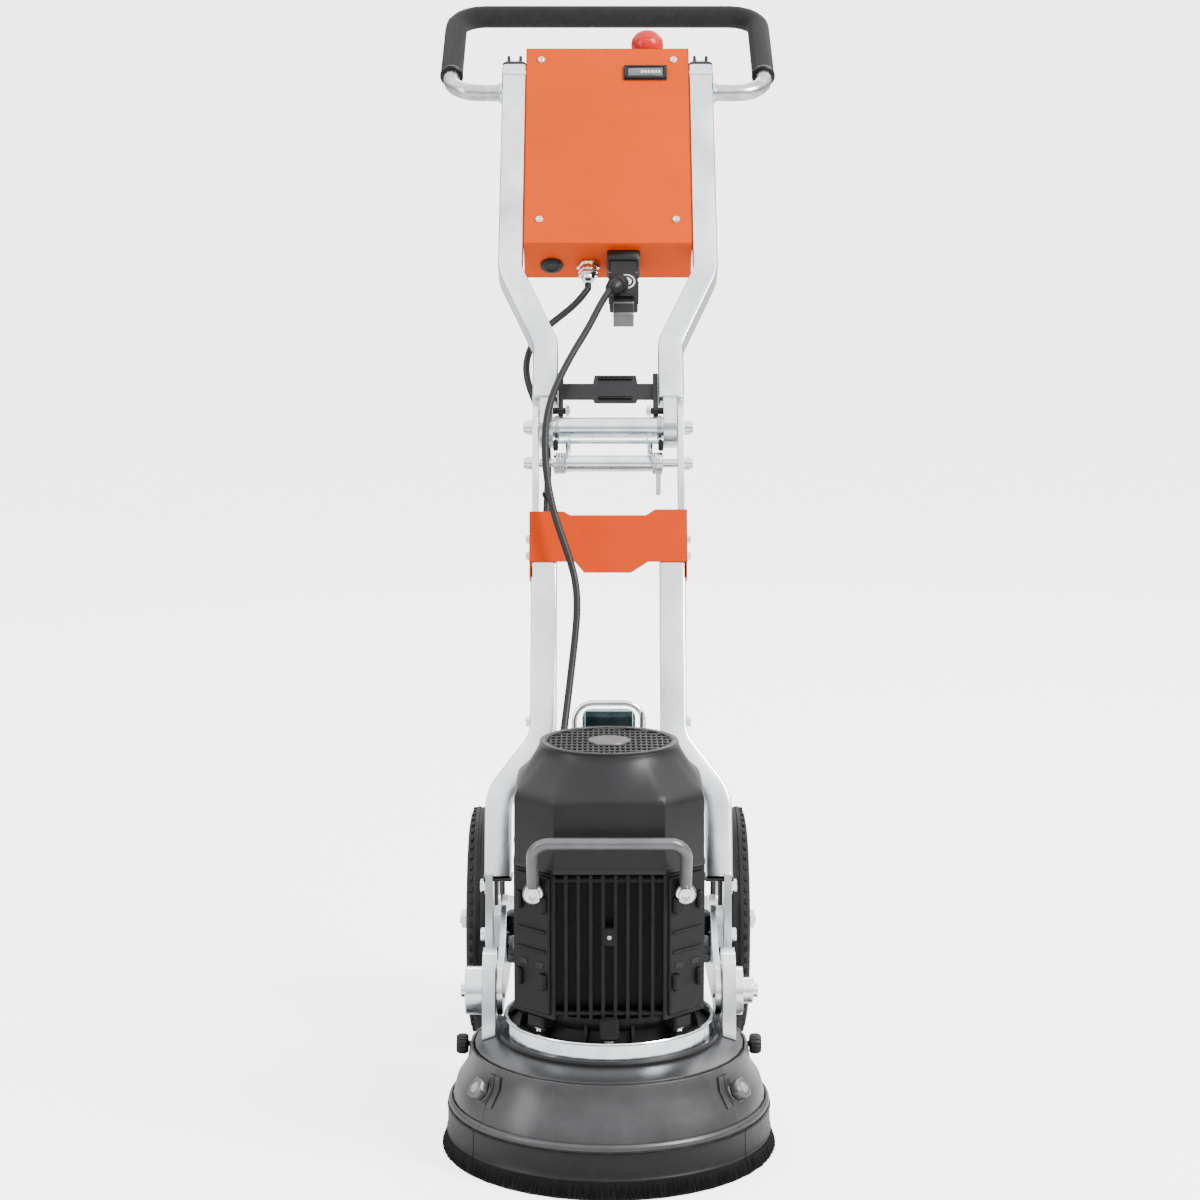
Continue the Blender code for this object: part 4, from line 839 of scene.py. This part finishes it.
def build_fold_hardware():
    bm = bmesh.new()
    for x in (-0.047, 0.049):
        add_turned(bm, [(0.0026, 0.0), (0.003, 0.001), (0.003, 0.015), (0.0024, 0.016)],
                place(x, 0.383, 0.703), UP, 16)
    shown("spring_posts", bm, BRIGHT_ZINC, "chassis")
    bm = bmesh.new()
    add_wire(bm, [place(-0.061, 0.38, 0.7175), place(0.061, 0.38, 0.7175)], 0.0022, 14)
    shown("stop_rod", bm, TEAL_ZINC, "chassis")
    bm = bmesh.new()
    for x in (-0.0645, 0.0585):
        add_block(bm, (x, x + 0.006), (0.37, 0.386), (0.708, 0.72), place, 0.0012)
    shown("stop_blocks", bm, BLACK, "chassis")
    bm = bmesh.new()
    at = place(0, *LOCK_BAR)
    low, high = 0.0535, 0.064
    add_ring(bm, [(0.0102, low), (0.0128, low + 0.001), (0.0128, high - 0.001), (0.0102, high)], at, RIGHT,
            32)
    add_ring(bm, [(0.0102, -0.052), (0.0118, -0.0515), (0.0118, -0.0485), (0.0102, -0.048)], at, RIGHT, 32)
    add_block(bm, (0.056, 0.0615), (0.369, 0.373), (0.656, 0.684), place, 0.001)
    shown("lock_bar_collar", bm, ZINC, "lock_bar")
    bm = bmesh.new()
    for x in (-0.06, 0.06):
        add_ring(bm, [(0.0124, x - 0.003), (0.0142, x - 0.0024), (0.0142, x + 0.0024), (0.0124, x + 0.003)],
                place(0, *FOLD_PIVOT),
                RIGHT, 36)
    shown("fold_shaft_collars", bm, STEEL, "upper_frame")
    rows = [("socket", place(side * 0.095, *FOLD_PIVOT), RIGHT * side, 0.0066, 0.0048) for side, _ in SIDES]
    fasteners("fold_bolts", "upper_frame", BRIGHT_ZINC, rows)
    rows = [("socket", place(side * 0.095, *LOCK_BAR), RIGHT * side, 0.0062, 0.0042) for side, _ in SIDES]
    fasteners("lock_bolts", "lock_bar", BRIGHT_ZINC, rows)
    bolt = upper(0, 0.024, 0.0)
    rows = [("nut", Vector((side * 0.05, bolt.y, bolt.z)), RIGHT * -side, 0.0056, 0.0055) for side,
            _ in SIDES]
    fasteners("lever_nuts", "release_lever", BRIGHT_ZINC, rows)
    bm = bmesh.new()
    for heights in ((0.0395, 0.0425), (0.0675, 0.0705)):
        add_block(bm, (-0.012, 0.029), heights, (-0.0052, 0.0052), upper, 0.001)
    shown("lever_flanges", bm, BLACK_PAINT, "release_lever")
    bm = bmesh.new()
    at = place(-0.0716, 0.3945, 0.654)
    add_ring(bm, [(0.0044, -0.0025), (0.0062, -0.0022), (0.0062, 0.0022), (0.0044, 0.0025)], at,
            Vector((0, 0.42, 0.9)), 24)
    add_block(bm, (-0.076, -0.068), (0.379, 0.3905), (0.65, 0.658), place, 0.001)
    shown("lead_clip", bm, BLACK, "chassis")
    bm = bmesh.new()
    add_turned(bm, [(0.0085, 0.0), (0.0088, 0.001), (0.0078, 0.003), (0.0058, 0.0075), (0.0048, 0.008)],
            place(-0.0745, 0.33, 0.534), Vector((0, 0.5, 0.86)), 20)
    shown("tube_grommet", bm, BLACK, "chassis")


# Upper frame

def rounded_square(half, corner, steps=4):
    points = []
    for k, (a, b) in enumerate(((1, 1), (-1, 1), (-1, -1), (1, -1))):
        for n in range(steps + 1):
            t = math.radians(90 * k + 90 * n / steps)
            points.append((a * (half - corner) + corner * math.cos(t),
                    b * (half - corner) + corner * math.sin(t)))
    return points


def build_tube_ends():
    bm = bmesh.new()
    for side, _ in SIDES:
        x = side * 0.1185
        rings = []
        for h, half, corner in ((0.55, 0.0149, 0.004), (0.553, 0.0152, 0.004), (0.5552, 0.014, 0.004),
                (0.5558, 0.011, 0.003)):
            rings.append([upper(x + a, h, b) for a, b in rounded_square(half, corner)])
        add_loft(bm, rings)
        for offset in (-0.0095, 0.0055):
            rings = []
            for h, f0, f1, inset in ((0.5545, -0.0075, 0.0075, 0.0), (0.569, -0.0075, 0.0075, 0.0),
                    (0.573, -0.005, 0.005, 0.0006)):
                spans = ((x + offset + inset, f0), (x + offset + 0.004 - inset, f0),
                        (x + offset + 0.004 - inset, f1),
                        (x + offset + inset, f1))
                rings.append([upper(a, h, f) for a, f in spans])
            add_loft(bm, rings)
    shown("tube_caps", bm, BLACK, "upper_frame")
    bm = bmesh.new()
    for side, _ in SIDES:
        middle = side * 0.0745
        rings = [[upper(middle + a, h, b) for a, b in rounded_square(half, 0.004)]
                for h, half in ((0.0346, 0.014), (0.035, 0.0147), (0.036, 0.0148))]
        add_loft(bm, rings)
    shown("tube_plugs", bm, ZINC, "upper_frame")
    bm = bmesh.new()
    for side, _ in SIDES:
        x = side * 0.1185
        low, high = 0.533, 0.5395
        outside = rounded_square(0.0158, 0.0045)
        inside = rounded_square(0.01502, 0.004)
        rings = [[upper(x + a, h, f) for a, f in points]
                for h, points in ((low, inside), (low, outside), (high, outside), (high, inside))]
        add_loft(bm, rings, True)
        mid = upper(0, 0.564, 0.0)
        add_turned(bm, [(0.0034, -0.0052), (0.0042, -0.0046), (0.0042, 0.0046), (0.0034, 0.0052)],
                Vector((x, mid.y, mid.z)), RIGHT, 18)
        start = Vector((side * 0.1335, upper(0, HANDLE_H, 0).y, upper(0, HANDLE_H, 0).z))
        add_ring(bm, [(0.0106, 0.0), (0.0136, 0.0002), (0.0132, 0.003), (0.0112, 0.0045), (0.0106, 0.0045)],
                start, RIGHT * side, 32)
    shown("tube_collars", bm, BRIGHT_ZINC, "upper_frame")


def build_box_details():
    rows = [("pan", upper(x, h, 0.0123), UP_F, 0.0052, 0.003) for x in (-0.084, 0.084) for h in (0.301,
            0.559)]
    fasteners("box_screws", "upper_frame", CHROME, rows)
    rows = [("pan", upper(x, h, -0.056), -UP_F, 0.0042, 0.0026) for x in (-0.088, 0.088) for h in (0.285,
            0.557)]
    fasteners("box_rear_screws", "upper_frame", CHROME, rows)
    bm = bmesh.new()
    for low, high in ((0.2632, 0.265), (0.577, 0.5788)):
        add_block(bm, (-0.1032, 0.1032), (low, high), (0.006, 0.0126), upper, 0.0006)
    for x in (-0.1036, 0.1018):
        add_block(bm, (x, x + 0.0018), (0.264, 0.578), (0.006, 0.0126), upper, 0.0006)
    add_block(bm, (-0.086, 0.086), (0.29, 0.552), (-0.0572, -0.056), upper, 0.0006)
    shown("box_folds", bm, ORANGE, "upper_frame")
    bm = bmesh.new()
    add_ring(bm, [(0.0118, 0.0), (0.0152, 0.0), (0.0155, 0.0012), (0.0142, 0.0026), (0.0118, 0.003)],
            upper(0.03, 0.5, -0.056),
            -UP_F, 32)
    shown("start_bezel", bm, CHROME, "upper_frame")
    bm = bmesh.new()
    add_block(bm, (0.0205, 0.0755), (0.5248, 0.5487), (0.0124, 0.0142), upper, 0.0008)
    for spans in (((0.0215, 0.025), (0.526, 0.5475)), ((0.071, 0.0745), (0.526, 0.5475)),
            ((0.0215, 0.0745), (0.526, 0.529)),
            ((0.0215, 0.0745), (0.5445, 0.5475))):
        add_block(bm, *spans, (0.015, 0.0166), upper, 0.0006)
    shown("meter_bezel", bm, BLACK, "upper_frame")
    bm = bmesh.new()
    add_block(bm, (0.0262, 0.0698), (0.5302, 0.5433), (0.0152, 0.0159), upper, 0.0002)
    shown("meter_display", bm, GLASS_GREY, "upper_frame")
    bm = bmesh.new()
    for k in range(6):
        x = 0.042 + 0.0044 * k
        add_block(bm, (x, x + 0.0032), (0.5345, 0.5392), (0.0158, 0.0161), upper, 0.0001)
    shown("meter_wheels", bm, PALE, "upper_frame")
    bm = bmesh.new()
    add_turned(bm,
            [(0.0138, 0.0), (0.014, 0.002), (0.0124, 0.004), (0.008, 0.0048), (0.007, 0.0036),
            (0.002, 0.0034)],
            upper(-0.069, 0.264, -0.03), -UP_H, 28)
    shown("blanking_plug", bm, BLACK, "upper_frame")
    bm = bmesh.new()
    gland = upper(-0.0243, 0.264, -0.03)
    add_turned(bm,
            [(0.0122, 0.0004, "h"), (0.0126, 0.0014, "h"), (0.0126, 0.005, "h"), (0.012, 0.0062),
            (0.0108, 0.0066),
            (0.0108, 0.0078), (0.0106, 0.0082, "h"), (0.0108, 0.0092, "h"), (0.0108, 0.0124, "h"),
            (0.0098, 0.0134)], gland,
            -UP_H, 24)
    add_turned(bm,
            [(0.0098, 0.0134), (0.0104, 0.0146, "h"), (0.0104, 0.0178, "h"), (0.0092, 0.019),
            (0.0076, 0.0226), (0.0056, 0.0244)],
            gland, -UP_H, 24)
    shown("gland_nuts", bm, CHROME, "upper_frame")
    stop = upper(0.0514, 0.578, -0.015)
    bm = bmesh.new()
    add_ring(bm, [(0.0118, 0.0), (0.0175, 0.0), (0.0178, 0.003), (0.016, 0.006), (0.0118, 0.0064)], stop,
            UP_H, 36)
    shown("stop_collar", bm, BLACK, "upper_frame")
    bm = bmesh.new()
    rings = []
    for r, h in ((0.0185, 0.0245), (0.0203, 0.0262), (0.0206, 0.031), (0.0203, 0.0356), (0.018, 0.0405),
            (0.012, 0.0432), (0.004, 0.044)):
        ring = []
        for k in range(60):
            t = 2 * math.pi * k / 60
            q = r * (1 + (0.012 * math.cos(20 * t) if 0.025 < h < 0.036 else 0.0))
            ring.append(aimed(stop, UP_H) @ Vector((q * math.cos(t), q * math.sin(t), h)))
        rings.append(ring)
    add_loft(bm, rings)
    shown("stop_mushroom", bm, RED, "emergency_stop", 30)


def build_connector():
    bm = bmesh.new()
    rings = []
    for f, inset in ((-0.0376, 0.0016), (-0.036, 0.0), (-0.004, 0.0), (-0.0024, 0.0016)):
        outline = [(0.0019 + inset, 0.1972 + inset), (0.0366 - inset, 0.1972 + inset),
                (0.0366 - inset, 0.242), (0.034, 0.25 - inset),
                (0.0045, 0.25 - inset), (0.0019 + inset, 0.242)]
        rings.append([upper(x, h, f) for x, h in outline])
    add_loft(bm, rings)
    for h in (0.203, 0.208, 0.213, 0.218):
        for x in (0.0008, 0.0358):
            add_block(bm, (x, x + 0.0018), (h, h + 0.0026), (-0.03, -0.006), upper, 0.0005)
    add_block(bm, (-0.001, 0.0395), (0.249, 0.264), (-0.04, 0.001), upper, 0.002)
    add_turned(bm,
            [(0.0125, 0.0), (0.013, 0.002), (0.013, 0.008), (0.011, 0.0098), (0.0104, 0.015),
            (0.0082, 0.0205), (0.006, 0.023),
            (0.0047, 0.024)], upper(0.015, 0.215, -0.003), Vector((-0.55, -0.75, -0.35)), 28)
    shown("connector_hood", bm, BLACK, "upper_frame")
    bm = bmesh.new()
    face = upper(0.0225, 0.217, -0.0022)
    side = UP_F.cross(RIGHT)
    arc = [face + (RIGHT * math.cos(t) + side * math.sin(t)) * 0.0098
           for t in [math.radians(-120 + 8 * k) for k in range(31)]]
    add_wire(bm, arc, 0.0011, 10)
    add_turned(bm, [(0.006, -0.0006), (0.0062, 0.0006), (0.0048, 0.0014), (0.002, 0.0014)], face, UP_F, 24)
    shown("connector_ring", bm, PALE, "upper_frame")
    bm = bmesh.new()
    add_block(bm, (0.0065, 0.0315), (0.1705, 0.1755), (-0.0326, -0.0074), upper, 0.0012)
    add_block(bm, (0.0065, 0.0315), (0.188, 0.191), (-0.0326, -0.0074), upper, 0.0008)
    for x in (0.0022, 0.035):
        add_wire(bm, [upper(x, 0.248, -0.02), upper(x, 0.23, -0.002)], 0.0014, 10)
    shown("connector_clips", bm, HANDLE_GREY, "upper_frame")


def build_grip_ends():
    pivot = upper(0, HANDLE_H, 0)
    along = Vector((0, math.cos(HANDLE_RISE), math.sin(HANDLE_RISE)))
    bm = bmesh.new()
    for side, _ in SIDES:
        base = pivot + RIGHT * side * HANDLE_X + along * 0.0462
        add_ring(bm, [(0.0106, 0.0), (0.0136, 0.0004), (0.015, 0.002), (0.015, 0.004), (0.0142, 0.0052),
                (0.0106, 0.0052)], base, along, 32)
    shown("grip_rings", bm, BLACK, "handlebar")


# Surroundings

def build_floor():
    bm = bmesh.new()
    size, cells = FLOOR_SIZE, FLOOR_CELLS
    rows = [[bm.verts.new((-size / 2 + size * i / cells, -size / 2 + 2.0 + size * j / cells, -0.0004))
            for i in range(cells + 1)]
            for j in range(cells + 1)]
    for j in range(cells):
        for i in range(cells):
            bm.faces.new((rows[j][i], rows[j][i + 1], rows[j + 1][i + 1], rows[j + 1][i]))
    white = surface("studio_floor", (FLOOR_WHITE, ) * 3, 0.6, tint=0.0, scale=2, spread=0.02, specular=0.0)
    tree = white.node_tree
    glow = tree.nodes["Principled BSDF"]
    glow.inputs["Emission Color"].default_value = (1.0, 1.0, 1.0, 1.0)
    ray = tree.nodes.new("ShaderNodeLightPath")
    strength = tree.nodes.new("ShaderNodeMapRange")
    strength.inputs["To Min"].default_value = FLOOR_GLOW_CAST
    strength.inputs["To Max"].default_value = FLOOR_GLOW_SEEN
    tree.links.new(ray.outputs["Is Camera Ray"], strength.inputs["Value"])
    tree.links.new(strength.outputs["Result"], glow.inputs["Emission Strength"])
    mesh = bpy.data.meshes.new("floor")
    bm.to_mesh(mesh)
    bm.free()
    mesh.materials.append(white)
    floor = bpy.data.objects.new("floor", mesh)
    bpy.context.scene.collection.objects.link(floor)


def area_light(name, at, target, size, power, colour=(1, 1, 1)):
    data = bpy.data.lights.new(name, "AREA")
    data.shape = "RECTANGLE"
    data.size, data.size_y = size
    data.energy = power
    data.color = colour
    light = bpy.data.objects.new(name, data)
    bpy.context.scene.collection.objects.link(light)
    light.location = at
    light.rotation_euler = (Vector(target) - Vector(at)).to_track_quat("-Z", "Y").to_euler()


def build_lights():
    world = bpy.data.worlds.new("studio")
    bpy.context.scene.world = world
    world.use_nodes = True
    back = world.node_tree.nodes["Background"]
    back.inputs["Color"].default_value = (0.99, 0.99, 1.0, 1.0)
    tree = world.node_tree
    ray = tree.nodes.new("ShaderNodeLightPath")
    glossy = tree.nodes.new("ShaderNodeMix")
    seen = tree.nodes.new("ShaderNodeMix")
    glossy.inputs["A"].default_value = DIFFUSE_SKY
    where = tree.nodes.new("ShaderNodeTexCoord")
    split = tree.nodes.new("ShaderNodeSeparateXYZ")
    height = tree.nodes.new("ShaderNodeMapRange")
    height.inputs["From Min"].default_value = 0.02
    height.inputs["From Max"].default_value = 0.62
    height.inputs["To Min"].default_value = GLOSSY_SKY[0]
    height.inputs["To Max"].default_value = GLOSSY_SKY[1]
    tree.links.new(where.outputs["Generated"], split.inputs["Vector"])
    tree.links.new(split.outputs["Z"], height.inputs["Value"])
    tree.links.new(height.outputs["Result"], glossy.inputs["B"])
    seen.inputs["B"].default_value = SEEN_SKY
    tree.links.new(ray.outputs["Is Glossy Ray"], glossy.inputs["Factor"])
    tree.links.new(ray.outputs["Is Camera Ray"], seen.inputs["Factor"])
    tree.links.new(glossy.outputs["Result"], seen.inputs["A"])
    tree.links.new(seen.outputs["Result"], back.inputs["Strength"])
    area_light("key_right", (2.4, -1.6, 2.9), (0, 0, 0.6), (1.2, 1.8), KEY_WATTS)
    area_light("fill_left", (-3.0, -1.6, 1.6), (0, 0, 0.6), (0.7, 2.4), FILL_WATTS)
    area_light("rim_back", (0.6, 3.0, 2.6), (0, 0, 0.7), (2.4, 1.2), RIM_WATTS)


build_camera()
build_leads()
SMOOTHING = soft_shading()
for node, finish in FINISHES.items():
    mesh = NODES[node].data
    mesh.materials.clear()
    mesh.materials.append(finish)
    NODES[node].modifiers.new("soft", "NODES").node_group = SMOOTHING
build_hood_details()
build_bristles()
build_skirt_hardware()
build_dust_port()
build_cowl()
build_grille()
build_housing_details()
build_motor_hardware()
build_foot_hardware()
build_wheels()
build_torsion_springs()
build_fold_hardware()
build_tube_ends()
build_box_details()
build_connector()
build_grip_ends()
build_floor()
build_lights()
